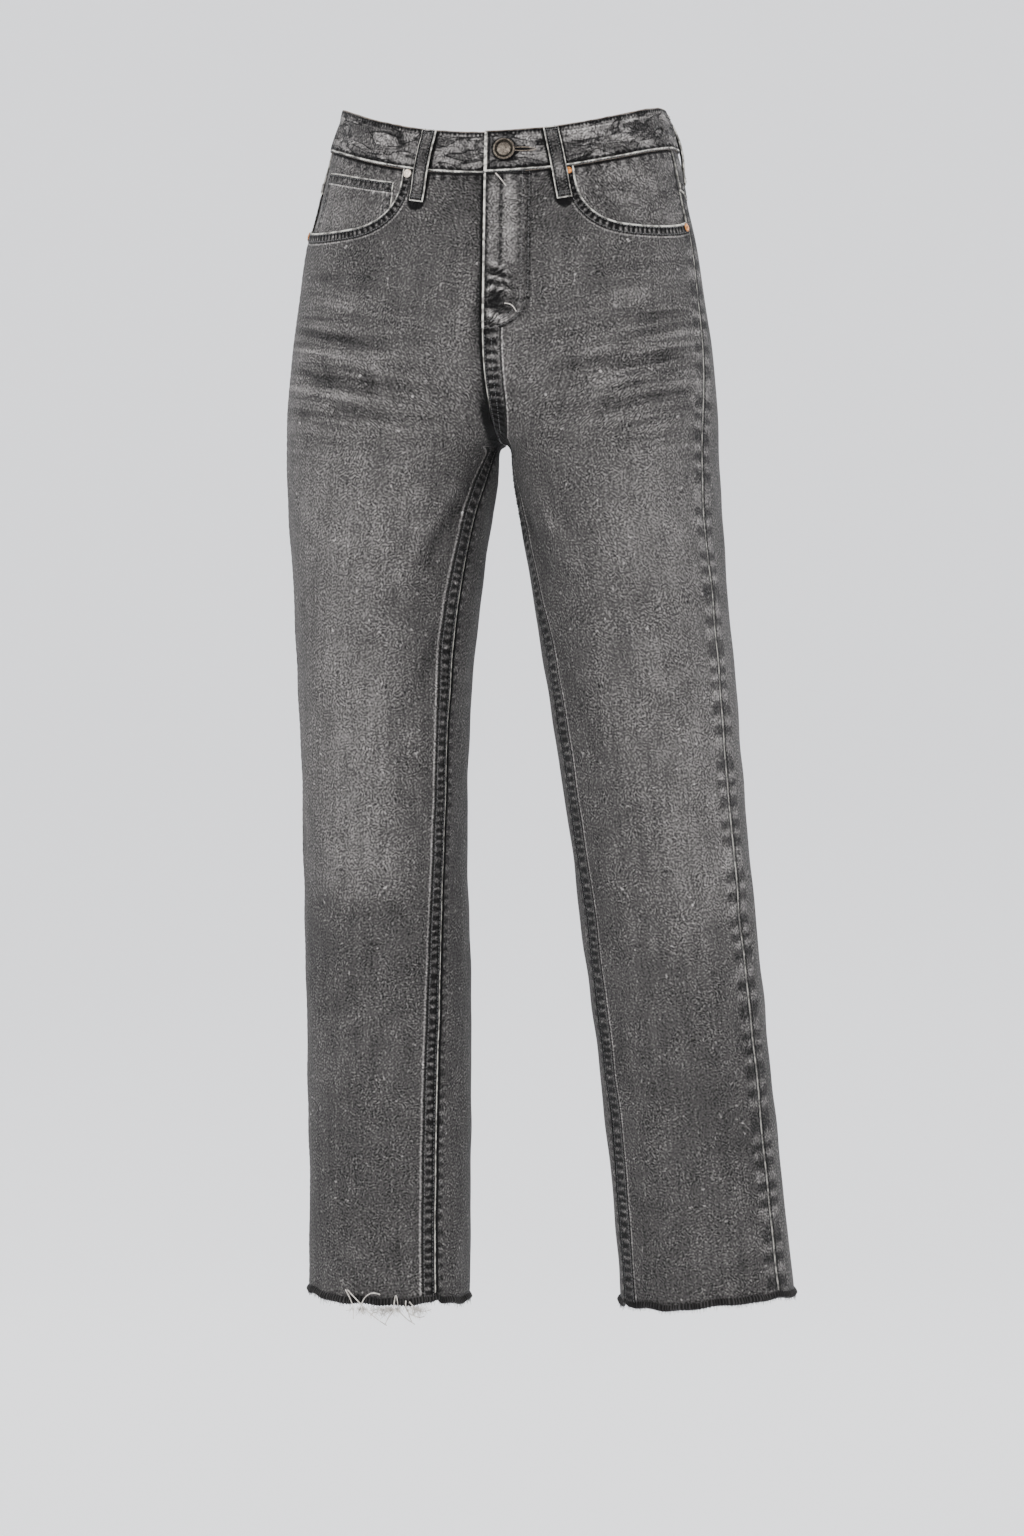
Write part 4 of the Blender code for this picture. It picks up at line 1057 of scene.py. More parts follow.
def makeHem(side):
    rng = random.Random(hem["seed"] + side)
    turns = np.linspace(0, 2 * math.pi, hem["around"], endpoint=False)
    low = hemHeight(side, turns) + hemWave(side, turns)
    ring = surface(side, turns, low)
    run = np.concatenate([[0.0], np.cumsum(np.linalg.norm(np.diff(ring, axis=0), axis=1))])
    tall, out, inside = hem["tall"], hem["out"], hem["inside"]
    section = (
        (tall + 0.0006, -0.0001), (tall, 0.0004), (tall * 0.80, out * 0.62), (tall * 0.52, out),
        (tall * 0.25, out * 0.86), (tall * 0.06, out * 0.40), (0.0, 0.0), (tall * 0.10, -inside * 0.7),
        (tall * 0.35, -inside), (tall, -inside),
    )
    rib = np.sin(run * 2 * math.pi / hem["ribs"] + 1.3 * np.sin(run * 310) + 0.8 * np.sin(run * 740))
    uneven = 0.35 * np.sin(run * 95) + 0.25 * np.sin(run * 233 + 1)
    normals = outward(side, turns, low + 0.02)
    grid = []
    for up, away in section:
        bulge = away * (1 + 0.25 * uneven) + (hem["ribDeep"] * rib * (away > 0))
        drop = 0.0005 * rib * (up < tall * 0.3) + 0.0007 * uneven * (up < tall * 0.3)
        grid.append(surface(side, turns, low + up + drop) + normals * bulge[:, None])
    grid = np.array(grid)[::-1]
    fields = {
        "topRun": run[None, :], "hemGap": 0.0, "washAndShade": 0.9 * rib[None, :] + 0.6 * uneven[None, :],
    }
    roll = gridPiece("raw_hem_" + sideWord[side], grid, side, fields, ring=True, tube=True)
    yarns = []
    for number in range(hem["yarns"]):
        turn = 2 * math.pi * (number + rng.random()) / hem["yarns"]
        foot = float(hemHeight(side, turn) + hemWave(side, np.array(turn))) + rng.uniform(0.0003, 0.0012)
        normal = outward(side, turn, foot + 0.02)
        start = surface(side, turn, foot) + normal * rng.uniform(-0.0008, 0.0016)
        long = rng.uniform(*hem["yarnLong"]) * (1.7 if rng.random() < 0.08 else 1.0)
        lean = normal * rng.uniform(-0.3, 0.7) + np.array((rng.uniform(-0.5, 0.5), rng.uniform(-0.5, 0.5), 0.0))
        yarns.append([
            start + (np.array((0, 0, -1.0)) * part + lean * 0.5 * part**1.6) * long for part in (0, 0.35, 0.7, 1.0)
        ])
    points, faces = strandMesh(yarns, hem["yarnThick"])
    fringe = addMesh("hem_yarn_" + sideWord[side], points, faces)
    return roll, fringe


hems = {side: makeHem(side) for side in (left, right)}

# (turn in degrees, height over the hem's lower edge in mm) of each loose thread on the right leg
looseThreads = (
    ((112.0, 12.1), (107.5, 4.9), (105.0, -0.2), (105.5, -6.3), (106.0, -12.4)),
    ((110.5, 12.1), (105.5, 7.6), (101.0, 1.6), (96.5, -2.7), (94.0, -7.5), (88.5, -13.0), (82.5, -17.2)),
    ((87.0, 9.2), (89.5, 11.9), (93.0, 13.1), (96.5, 9.5), (100.0, 3.4), (101.5, -5.1)),
    ((78.0, -3.9), (77.3, 6.0), (76.3, 15.0), (75.4, 7.0), (74.6, -2.7)),
    ((76.5, -3.3), (81.0, -8.7), (83.5, -16.0)),
    ((75.0, -3.3), (71.5, -8.7), (67.0, -13.6), (63.0, -16.6)),
    ((64.0, -1.5), (66.5, -5.1), (65.5, -9.3), (61.0, -11.4), (56.0, -10.0)),
    ((68.0, -3.3), (67.5, -8.7), (65.0, -14.8)),
    ((69.5, 4.0), (71.0, 0.5), (70.0, -5.0), (66.0, -9.0), (60.0, -10.5)),
    ((67.0, 3.0), (65.0, -1.5), (61.5, -5.0), (56.0, -6.5), (51.0, -4.5)),
    ((99.5, -2.1), (100.0, -5.1), (98.5, -8.1)),
    ((93.5, -8.7), (92.0, -5.7), (89.5, -6.0)),
)

# (distance round from the centre front, height) of two short ends beside the fly
flyThreads = (
    ((0.0190, -0.1532), (0.0235, -0.1526), (0.0270, -0.1555), (0.0285, -0.1600)),
    ((0.0100, -0.0450), (0.0135, -0.0480), (0.0160, -0.0520), (0.0190, -0.0560)),
)


loose = {
    "thick": 0.00115, "lift": 0.0030, "fluffThick": 0.00038, "seed": 12,
    # of the tufts of fluff: middle and width in degrees, and how many fibres
    "tufts": ((80.0, 8.0, 120), (61.0, 7.0, 80), (101.0, 6.0, 50), (90.0, 12.0, 60)),
}


def makeLooseThreads():
    lines = []
    foot = form["hem"] + 0.0025
    for thread in looseThreads:
        path = smoothPath([(turn, height / 1000) for turn, height in thread], 26)
        turns, heights = np.radians(path[:, 0]), foot + path[:, 1]
        lift = loose["lift"] + 0.0012 * np.sin(np.linspace(0, 3.1, len(path)))
        lines.append(surface(right, turns, heights) + outward(right, turns, heights) * lift[:, None])
    for thread in flyThreads:
        path = smoothPath([(arc * 1000, height) for arc, height in thread], 20)
        turns = turnsAt(left, path[:, 1], path[:, 0] / 1000)
        lines.append(surface(left, turns, path[:, 1]) + outward(left, turns, path[:, 1]) * loose["lift"])
    points, faces = strandMesh(lines, loose["thick"], sides=5, taper=0.6)
    threads = addMesh("loose_threads", points, faces)
    rng = random.Random(loose["seed"])
    fluff = []
    for middle, width, count in loose["tufts"]:
        for _ in range(count):
            turn = math.radians(rng.gauss(middle, width * 0.5))
            height = foot - rng.uniform(0.001, 0.004)
            start = surface(right, turn, height) + outward(right, turn, height) * rng.uniform(0.0002, 0.003)
            way = np.array((rng.uniform(-1, 1), rng.uniform(-0.6, 0.3), rng.uniform(-1.6, -0.3)))
            bend = np.array((rng.uniform(-1, 1), rng.uniform(-0.5, 0.5), rng.uniform(-0.6, 0.4)))
            size = rng.uniform(0.003, 0.0085)
            fluff.append([start + (way * part + bend * part**2) * size * 0.7 for part in (0, 0.25, 0.5, 0.75, 1.0)])
    points, faces = strandMesh(fluff, loose["fluffThick"], taper=0.5)
    return threads, addMesh("hem_fluff", points, faces)


looseThread, hemFluff = makeLooseThreads()
print("hems ready")


# Metal
def seated(side, turn, height):
    # the frame of a piece set on the cloth, its own z pointing outward
    turned = Vector(outward(side, turn, height)).to_track_quat("Z", "Y").to_matrix().to_4x4()
    return Matrix.Translation(Vector(surface(side, turn, height))) @ turned


def turnedPiece(name, profile, segments, matrix):
    points, faces, rings = [], [], []
    for radius, height in profile:
        rings.append(len(points))
        points += [
            matrix @ Vector((radius * math.cos(a), radius * math.sin(a), height))
            for a in (2 * math.pi * step / segments for step in range(segments))
        ]
    for low, high in zip(rings, rings[1:]):
        for step in range(segments):
            after = (step + 1) % segments
            faces.append((low + step, low + after, high + after, high + step))
    faces.append(tuple(rings[0] + step for step in range(segments))[::-1])
    faces.append(tuple(rings[-1] + step for step in range(segments)))
    return addMesh(name, points, faces)


def makeButton():
    r, seat = metal["buttonRadius"], 0.0029
    profile = (
        (0.0028, -0.0002), (0.0028, seat), (r - 0.0010, seat), (r - 0.0003, seat + 0.0003), (r, seat + 0.0008),
        (r, seat + 0.0012), (r - 0.0003, seat + 0.0017), (r - 0.0008, seat + 0.0020), (r - 0.0014, seat + 0.0020),
        (r - 0.0018, seat + 0.0014), (r - 0.0021, seat + 0.0009), (r - 0.0027, seat + 0.0008),
        (r - 0.0036, seat + 0.0011), (r - 0.0048, seat + 0.0017), (r - 0.0060, seat + 0.0021),
        (r - 0.0068, seat + 0.0023), (r - 0.0078, seat + 0.0023), (r - 0.0086, seat + 0.0022),
        (0.0002, seat + 0.0022),
    )
    return turnedPiece("waist_button", profile, metal["buttonSides"], seated(left, buttonTurn, buttonHeight))


def makeRivet(name, side, label):
    start = mouth["start"][side]
    wide = seamTurn(side, "outseam", -0.06)
    if label == "inner":
        edge = float(waistSeam(side, wide * start))
    else:
        edge = float(frontTop(side, np.array(0.97)))
    height = edge - metal["rivetBelow"] - metal["rivetMargin"]
    origin = float(wide * start) if label == "inner" else float(seamTurn(side, "outseam", height))
    turn = float(turnsAt(side, height, metal["rivetAside"][label], origin))
    r, tall = metal["rivetRadius"] * (0.78 if (side, label) == (left, "inner") else 1.0), metal["rivetHeight"]
    profile = (
        (r * 0.9, 0.0), (r, 0.0002), (r, 0.0005), (r * 0.92, 0.0009), (r * 0.80, 0.0011), (r * 0.62, 0.00112),
        (r * 0.50, 0.0010), (r * 0.40, 0.0012), (r * 0.30, tall), (r * 0.16, tall + 0.0001), (r * 0.02, tall + 0.0001),
    )
    onEdge = seated(side, turn, height) @ Matrix.Translation((0, 0, 0.0004))
    return turnedPiece(name, profile, metal["rivetSides"], onEdge)


button = makeButton()
rivets = {
    (side, label): makeRivet(f"rivet_{label}_{sideWord[side]}_cap", side, label)
    for side in (left, right) for label in ("inner", "outer")
}
print("metal ready")


# Shader tools
def plug(tree, value, socket):
    if isinstance(value, (int, float, tuple)):
        socket.default_value = value
    else:
        tree.links.new(value, socket)


def setInputs(node, values):
    for label, value in values.items():
        node.inputs[label].default_value = value


def maths(tree, operation, *values):
    made = tree.nodes.new("ShaderNodeMath")
    made.operation = operation
    for value, socket in zip(values, made.inputs):
        plug(tree, value, socket)
    return made.outputs[0]


def slope(tree, value, low, high, start=0.0, end=1.0):
    made = tree.nodes.new("ShaderNodeMapRange")
    made.interpolation_type = "SMOOTHSTEP"
    plug(tree, value, made.inputs["Value"])
    for label, amount in (("From Min", low), ("From Max", high), ("To Min", start), ("To Max", end)):
        plug(tree, amount, made.inputs[label])
    return made.outputs["Result"]


def noise(tree, vector, scale, detail=2.0, rough=0.5, distortion=0.0):
    made = tree.nodes.new("ShaderNodeTexNoise")
    plug(tree, vector, made.inputs["Vector"])
    plug(tree, scale, made.inputs["Scale"])
    setInputs(made, {"Detail": detail, "Roughness": rough, "Distortion": distortion})
    return made.outputs["Fac"]


def stretched(tree, vector, scale, turn=0.0):
    made = tree.nodes.new("ShaderNodeMapping")
    plug(tree, vector, made.inputs["Vector"])
    setInputs(made, {"Scale": scale, "Rotation": (0.0, 0.0, turn)})
    return made.outputs["Vector"]


def wavelets(tree, vector, scale, frequency):
    # short waves that lie every way, with one spacing: 1 / (scale x frequency)
    made = tree.nodes.new("ShaderNodeTexGabor")
    made.gabor_type = "2D"
    plug(tree, vector, made.inputs["Vector"])
    setInputs(made, {"Scale": scale, "Frequency": frequency, "Anisotropy": 0.0})
    return made.outputs["Value"]


def combined(tree, x, y):
    made = tree.nodes.new("ShaderNodeCombineXYZ")
    for value, socket in zip((x, y), made.inputs):
        plug(tree, value, socket)
    return made.outputs[0]


def less(tree, value, amount):
    return maths(tree, "SUBTRACT", value, amount)


def away(tree, value, spot):
    return maths(tree, "ABSOLUTE", less(tree, value, spot))


def around(tree, value, spot, reach):
    # 1 at the spot, falling smoothly to 0 at the reach on both sides
    return slope(tree, away(tree, value, spot), 0.0, reach, 1.0, 0.0)


def total(tree, first, *others):
    for other in others:
        first = maths(tree, "ADD", first, other)
    return first


def times(tree, first, *others):
    for other in others:
        first = maths(tree, "MULTIPLY", first, other)
    return first


def startGroup(name, inputs, outputs):
    group = bpy.data.node_groups.new(name, "ShaderNodeTree")
    for label, kind, value in inputs:
        socket = group.interface.new_socket(label, in_out="INPUT", socket_type="NodeSocket" + kind)
        if value is not None:
            socket.default_value = value
    for label in outputs:
        group.interface.new_socket(label, in_out="OUTPUT", socket_type="NodeSocketFloat")
    return group, group.nodes.new("NodeGroupInput").outputs, group.nodes.new("NodeGroupOutput").inputs


def place(tree, group, **values):
    made = tree.nodes.new("ShaderNodeGroup")
    made.node_tree = group
    for label, value in values.items():
        plug(tree, value, made.inputs[label])
    return made.outputs


def makeTwill():
    inputs = [("Weave", "Vector", None), ("Pitch", "Float", 0.00105)]
    group, given, out = startGroup("twill", inputs, ("Lines", "Slub"))
    split = group.nodes.new("ShaderNodeSeparateXYZ")
    group.links.new(given["Weave"], split.inputs[0])
    slanted = total(group, times(group, split.outputs[0], 1.25), split.outputs[1])
    waver = times(group, noise(group, given["Weave"], 700.0, 2.0), 2.6)
    turns = maths(group, "DIVIDE", times(group, slanted, 6.2832), given["Pitch"])
    group.links.new(maths(group, "SINE", total(group, turns, waver)), out["Lines"])
    fine = noise(group, stretched(group, given["Weave"], (1500.0, 150.0, 1.0)), 1.0, 2.0, 0.6)
    group.links.new(less(group, fine, 0.5), out["Slub"])
    return group


def makeCurls():
    group, given, out = startGroup("curled_fibres", [("Weave", "Vector", None)], ("Fibres", "Strands", "Streaks"))
    bent = group.nodes.new("ShaderNodeTexNoise")
    group.links.new(given["Weave"], bent.inputs["Vector"])
    bent.inputs["Scale"].default_value = 190.0
    shifted = group.nodes.new("ShaderNodeVectorMath")
    shifted.operation = "MULTIPLY_ADD"
    group.links.new(bent.outputs["Color"], shifted.inputs[0])
    shifted.inputs[1].default_value = (0.0034, 0.0034, 0.0)
    group.links.new(given["Weave"], shifted.inputs[2])
    curled = shifted.outputs[0]
    fine = slope(group, wavelets(group, curled, 160.0, 2.5), 0.22, 0.78, -1.0, 1.0)
    middling = slope(group, wavelets(group, curled, 120.0, 1.9), 0.22, 0.78, -1.0, 1.0)
    group.links.new(total(group, times(group, fine, 0.62), times(group, middling, 0.45)), out["Fibres"])
    waves = wavelets(group, curled, 56.0, 2.8)
    crests = slope(group, waves, 0.64, 0.80)
    some = slope(group, noise(group, given["Weave"], 105.0, 1.0), 0.50, 0.62)
    # pale fibre strands are the cloth's own; the dark beside them is painted shadow
    fibreShadow = slope(group, waves, 0.36, 0.20)
    group.links.new(times(group, less(group, crests, times(group, fibreShadow, 0.6)), some), out["Strands"])
    streaks = noise(group, stretched(group, given["Weave"], (240.0, 11.0, 1.0)), 1.0, 2.0, 0.6)
    group.links.new(less(group, streaks, 0.5), out["Streaks"])
    return group


def makeCrinkle():
    group, given, out = startGroup("crinkles", [("Weave", "Vector", None)], ("Crinkle",))
    # crease pattern: dark crease lines and a lit and a shaded side across each fold; in colour this is painted light
    # and shade, as a bump it is relief
    creased = noise(group, stretched(group, given["Weave"], (29.0, 74.0, 1.0), 0.60), 1.0, 2.0, 0.45, 0.8)
    crossed = noise(group, stretched(group, given["Weave"], (36.0, 92.0, 1.0), -0.62), 1.0, 2.0, 0.45, 0.6)
    small = noise(group, stretched(group, given["Weave"], (170.0, 120.0, 1.0), -0.5), 1.0, 2.0, 0.5, 0.5)
    sharp = slope(group, away(group, creased, 0.5), 0.0, 0.040, -1.2, 0.35)
    sharper = slope(group, away(group, crossed, 0.5), 0.0, 0.045, -0.9, 0.25)
    group.links.new(
        total(
            group, times(group, sharp, 0.85), times(group, sharper, 0.55),
            times(group, slope(group, creased, 0.38, 0.62, -1.0, 1.0), 0.40),
            times(group, slope(group, small, 0.36, 0.62, -1.0, 1.0), 0.10),
        ),
        out["Crinkle"],
    )
    return group


def makeSeam():
    group, given, out = startGroup(
        "worn_seam",
        [
            ("Gap", "Float", 1.0), ("Run", "Float", 0.0), ("Place", "Vector", None), ("Shine", "Float", 1.0),
            ("Line", "Float", 0.0012), ("Band", "Float", 0.0085), ("Pucker", "Float", 1.0),
            ("Pitch", "Float", 0.0076), ("Dark", "Float", 0.12), ("Rim", "Float", 1.0), ("PaintedShadow", "Float", 0.25),
        ],
        ("Pale", "Tone", "Height"),
    )
    gap, run, edge = given["Gap"], given["Run"], given["Band"]
    ragged = times(group, less(group, noise(group, given["Place"], 420.0, 3.0), 0.5), 0.0010)
    near = total(group, gap, ragged)
    line = slope(group, near, times(group, given["Line"], 0.6), given["Line"], 1.0, 0.0)
    broken = slope(group, noise(group, given["Place"], 210.0, 3.0), 0.38, 0.60, 0.20, 1.05)
    group.links.new(times(group, line, broken, given["Shine"]), out["Pale"])
    waver = total(
        group, times(group, maths(group, "SINE", times(group, run, 61.0)), 1.5),
        times(group, maths(group, "SINE", total(group, times(group, run, 143.0), 1.0)), 1.0),
    )
    wave = maths(group, "SINE", total(group, maths(group, "DIVIDE", times(group, run, 6.2832), given["Pitch"]), waver))
    blotch = times(group, less(group, noise(group, given["Place"], 170.0, 2.0), 0.5), 2.4)
    mixed = slope(group, total(group, times(group, wave, 0.75), blotch), -1.0, 1.0, -1.0, 1.0)
    fromSeam = slope(group, gap, 0.0008, 0.0026)
    inBand = times(group, fromSeam, slope(group, gap, times(group, edge, 0.70), times(group, edge, 0.98), 1.0, 0.0))
    # a painted shadow line just beyond the pale edge line
    groove = around(group, gap, total(group, given["Line"], 0.0009), 0.0018)
    rimDark = times(group, around(group, gap, edge, 0.0012), given["Rim"])
    rimPale = times(group, around(group, gap, total(group, edge, 0.0016), 0.0011), given["Rim"])
    puckered = times(group, mixed, inBand, given["Pucker"])
    tone = total(
        group, times(group, puckered, 0.19), times(group, inBand, given["Dark"], -1.0),
        times(group, groove, given["PaintedShadow"], -1.0), times(group, rimDark, -0.22), times(group, rimPale, 0.24),
    )
    group.links.new(tone, out["Tone"])
    group.links.new(times(group, puckered, 0.00040), out["Height"])
    return group


twill, curls, crinkles, wornSeam = makeTwill(), makeCurls(), makeCrinkle(), makeSeam()


def startMaterial(name):
    material = bpy.data.materials.new(name)
    material.use_nodes = True
    tree = material.node_tree
    return material, tree, tree.nodes["Principled BSDF"], tree.nodes.new("ShaderNodeTexCoord").outputs["Object"]


def weaveUv(tree):
    made = tree.nodes.new("ShaderNodeUVMap")
    made.uv_map = "weave"
    return made.outputs["UV"]


def bumped(tree, shader, height, strength, distance):
    bump = tree.nodes.new("ShaderNodeBump")
    setInputs(bump, {"Strength": strength, "Distance": distance})
    tree.links.new(height, bump.inputs["Height"])
    tree.links.new(bump.outputs["Normal"], shader.inputs["Normal"])


def attribute(tree, name):
    made = tree.nodes.new("ShaderNodeAttribute")
    made.attribute_name = name
    return made.outputs["Fac"]


def colourRamp(tree, value, stops):
    made = tree.nodes.new("ShaderNodeValToRGB")
    plug(tree, value, made.inputs["Fac"])
    ramp = made.color_ramp
    while len(ramp.elements) < len(stops):
        ramp.elements.new(1.0)
    for element, (spot, colour) in zip(ramp.elements, stops):
        element.position = spot
        element.color = (*colour, 1.0)
    return made.outputs["Color"]


def mixColour(tree, share, first, second):
    made = tree.nodes.new("ShaderNodeMix")
    made.data_type = "RGBA"
    plug(tree, share, made.inputs[0])
    for value, socket in ((first, made.inputs[6]), (second, made.inputs[7])):
        plug(tree, (*value, 1.0) if isinstance(value, tuple) else value, socket)
    return made.outputs[2]


denim = {
    "shades": (
        (0.00, (0.0018, 0.0017, 0.0017)), (0.25, (0.0115, 0.0110, 0.0107)), (0.50, (0.0515, 0.0488, 0.0471)),
        (0.75, (0.1700, 0.1606, 0.1536)), (1.00, (0.4300, 0.4095, 0.3885)),
    ),
    "worn": (0.62, 0.60, 0.54),
    "tone": 0.463,
    "washAndShade": 0.165,
    "mottle": 0.24,
    "paintedCreaseShading": 0.20,
    "fibre": 0.215,
    "strand": 0.26,
    "streak": 0.20,
    "twill": 0.035,
    "slub": 0.16,
    "whisker": 0.11,
}

# How each kind of sewn edge has worn: its pale line, the band beside it and the puckers in that band; and the painted
# shadow line beside its edge
seamInputs = ("Shine", "Line", "Band", "Pucker", "Pitch", "Dark", "Rim", "PaintedShadow")
seamLooks = {
    "felled": (0.90, 0.0014, 0.0088, 1.2, 0.0072, 0.12, 1.2, 0.40),
    "felledWide": (0.85, 0.0015, 0.0150, 1.3, 0.0072, 0.14, 1.2, 0.40),
    "outseam": (0.50, 0.0011, 0.0150, 0.80, 0.0190, 0.02, 0.0, 0.22),
    "plain": (0.0, 0.0002, 0.0080, 0.7, 0.0095, 0.05, 0.0, 0.55),
    "mouth": (1.05, 0.0021, 0.0086, 2.0, 0.0046, 0.20, 1.0, 0.30),
    "pocketTop": (0.95, 0.0014, 0.0080, 0.9, 0.0060, 0.14, 1.4, 0.30),
    "patch": (0.85, 0.0012, 0.0076, 0.9, 0.0068, 0.08, 0.7, 0.25),
    "flyEdge": (1.1, 0.0020, 0.0050, 0.5, 0.0080, 0.06, 0.0, 0.20),
    "bandEdge": (1.05, 0.0018, 0.0055, 0.9, 0.0060, 0.10, 0.0, 0.38),
    "tabEdge": (1.15, 0.0030, 0.0060, 0.6, 0.0085, 0.05, 0.0, 0.35),
    "bandTop": (0.45, 0.0010, 0.0050, 0.9, 0.0034, 0.14, 0.5, 0.40),
    "loopEdge": (1.0, 0.0010, 0.0035, 0.5, 0.0070, 0.12, 0.0, 0.22),
}


def makeDenim(name, seams, tone=0.0, crinkled=0.0, topStain=None):
    material, tree, shader, here = startMaterial(name)
    uv = weaveUv(tree)
    woven, curled = place(tree, twill, Weave=uv), place(tree, curls, Weave=uv)
    strength = slope(tree, noise(tree, here, 42.0, 2.0), 0.3, 0.7, 0.75, 1.2)
    fibres = times(tree, curled["Fibres"], strength)
    mottle = less(tree, noise(tree, here, 62.0, 4.0, 0.62), 0.5)
    coarse = less(tree, noise(tree, stretched(tree, here, (1.0, 1.0, 0.45)), 15.0, 2.0), 0.5)
    whiskerRun = times(tree, attribute(tree, "whiskerAlong"), 13.0)
    drawn = combined(tree, whiskerRun, times(tree, attribute(tree, "whiskerDown"), 150.0))
    whisker = slope(tree, noise(tree, drawn, 1.0, 2.5, 0.5, 0.4), 0.34, 0.66, -1.0, 1.0)
    level = total(
        tree, denim["tone"] + tone, times(tree, attribute(tree, "washAndShade"), denim["washAndShade"]),
        times(tree, mottle, denim["mottle"]), times(tree, coarse, denim["mottle"] * 0.7),
        times(tree, fibres, denim["fibre"]), times(tree, curled["Strands"], denim["strand"]),
        times(tree, curled["Streaks"], denim["streak"]),
        times(tree, whisker, attribute(tree, "whiskerShare"), denim["whisker"]),
        times(tree, woven["Lines"], denim["twill"]), times(tree, woven["Slub"], denim["slub"]),
    )
    pale, height = 0.0, 0.0
    if crinkled:
        # painted light and shade of the creases in the colour, and their bump
        folds = place(tree, crinkles, Weave=uv)["Crinkle"]
        level = total(tree, level, times(tree, folds, denim["paintedCreaseShading"] * crinkled))
        height = times(tree, folds, 0.0004 * crinkled)
    for label, look in seams.items():
        gap, run = attribute(tree, label + "Gap"), attribute(tree, label + "Run")
        seam = place(tree, wornSeam, Gap=gap, Run=run, Place=here, **dict(zip(seamInputs, seamLooks[look])))
        level = total(tree, level, seam["Tone"])
        pale = maths(tree, "MAXIMUM", pale, seam["Pale"])
        height = total(tree, height, seam["Height"])
    # painted shadow beside and under the belt loops, button, buttonhole and the fly's edge
    paintedShadowEdge = total(tree, attribute(tree, "paintedShadowGap"), times(tree, mottle, 0.0012))
    level = less(tree, level, slope(tree, paintedShadowEdge, 0.0002, 0.0030, 0.60, 0.0))
    # painted shadow on the cloth just above the hem roll
    hemShadow = slope(tree, attribute(tree, "hemGap"), 0.0, 0.0060, 1.0, 0.0)
    level = less(tree, level, times(tree, hemShadow, 0.20))
    colour = colourRamp(tree, level, denim["shades"])
    # no pale lines in the deep shade at the crotch
    lit = slope(tree, attribute(tree, "washAndShade"), -4.0, -1.5)
    colour = mixColour(tree, times(tree, pale, lit, 0.9), colour, denim["worn"])
    if topStain:
        fromTop = total(tree, attribute(tree, "topGap"), times(tree, mottle, 0.0016))
        colour = mixColour(tree, slope(tree, fromTop, 0.0003, 0.0014, 0.8, 0.0), colour, topStain)
    tree.links.new(colour, shader.inputs["Base Color"])
    relief = total(
        tree, times(tree, woven["Lines"], 0.00005), times(tree, woven["Slub"], 0.00016), times(tree, fibres, 0.00016),
        times(tree, curled["Strands"], 0.00025), times(tree, mottle, 0.0008), height,
    )
    bumped(tree, shader, relief, 0.9, 1.0)
    setInputs(shader, {
        "Roughness": 0.92, "Specular IOR Level": 0.10, "Sheen Weight": 0.04, "Sheen Roughness": 0.55,
    })
    return material


def makeInside():
    material, tree, shader, here = startMaterial("denim_reverse")
    woven = place(tree, twill, Weave=weaveUv(tree))
    level = total(
        tree, 0.45, times(tree, woven["Lines"], 0.06), times(tree, woven["Slub"], 0.35),
        less(tree, times(tree, noise(tree, here, 30.0, 4.0), 0.4), 0.2),
    )
    shades = ((0.0, (0.05, 0.05, 0.052)), (0.5, (0.155, 0.153, 0.150)), (1.0, (0.34, 0.335, 0.325)))
    tree.links.new(colourRamp(tree, level, shades), shader.inputs["Base Color"])
    bumped(tree, shader, times(tree, woven["Lines"], 0.00007), 0.8, 1.0)
    setInputs(shader, {"Roughness": 0.95, "Specular IOR Level": 0.12, "Sheen Weight": 0.15})
    return material


def makeYarn(name, dark, light, scale):
    material, tree, shader, here = startMaterial(name)
    share = slope(tree, noise(tree, here, scale, 3.0), 0.3, 0.7)
    tree.links.new(mixColour(tree, share, dark, light), shader.inputs["Base Color"])
    twist = maths(tree, "SINE", times(tree, noise(tree, here, scale * 3, 1.0), 30.0))
    bumped(tree, shader, twist, 0.5, 0.0001)
    setInputs(shader, {"Roughness": 0.85, "Sheen Weight": 0.3})
    return material


def makeMetal(name, dark, light, worn, rough):
    material, tree, shader, here = startMaterial(name)
    patina = slope(tree, noise(tree, here, 520.0, 5.0, 0.65), 0.36, 0.64)
    specks = slope(tree, noise(tree, here, 1700.0, 3.0), 0.56, 0.66)
    colour = mixColour(tree, patina, dark, light)
    colour = mixColour(tree, times(tree, specks, 0.5), colour, worn)
    tree.links.new(colour, shader.inputs["Base Color"])
    tree.links.new(slope(tree, patina, 0.0, 1.0, rough + 0.16, rough), shader.inputs["Roughness"])
    bumped(tree, shader, total(tree, patina, specks), 0.35, 0.0002)
    setInputs(shader, {"Metallic": 1.0})
    return material


inside = makeInside()
denimFront = {
    side: makeDenim(
        "denim_front_" + sideWord[side], {"inner": look, "outer": "outseam", "top": "plain", "fold": "mouth"},
    )
    for side, look in ((right, "felled"), (left, "felledWide"))
}
denimBack = makeDenim("denim_back", {"inner": "outseam", "outer": "plain", "top": "plain"}, tone=-0.01)
denimYoke = makeDenim("denim_yoke", {"inner": "patch", "outer": "outseam", "top": "patch"}, crinkled=0.25)
denimPocket = makeDenim(
    "denim_pocket", {"inner": "patch", "outer": "patch", "top": "pocketTop"}, tone=0.01, crinkled=0.2,
)
denimFacing = makeDenim("denim_facing", {"outer": "plain", "top": "plain"}, tone=-0.01, crinkled=0.35)
denimFly = makeDenim("denim_fly", {"inner": "flyEdge", "top": "plain"}, crinkled=0.3)
denimBand = makeDenim(
    "denim_band", {"inner": "tabEdge", "outer": "bandEdge", "top": "bandTop"},
    tone=-0.02, crinkled=1.25, topStain=(0.16, 0.12, 0.09),
)
denimLoop = makeDenim("denim_loop", {"inner": "loopEdge", "top": "loopEdge"}, crinkled=0.5)
denimHem = makeDenim("denim_raw_edge", {}, tone=-0.18)
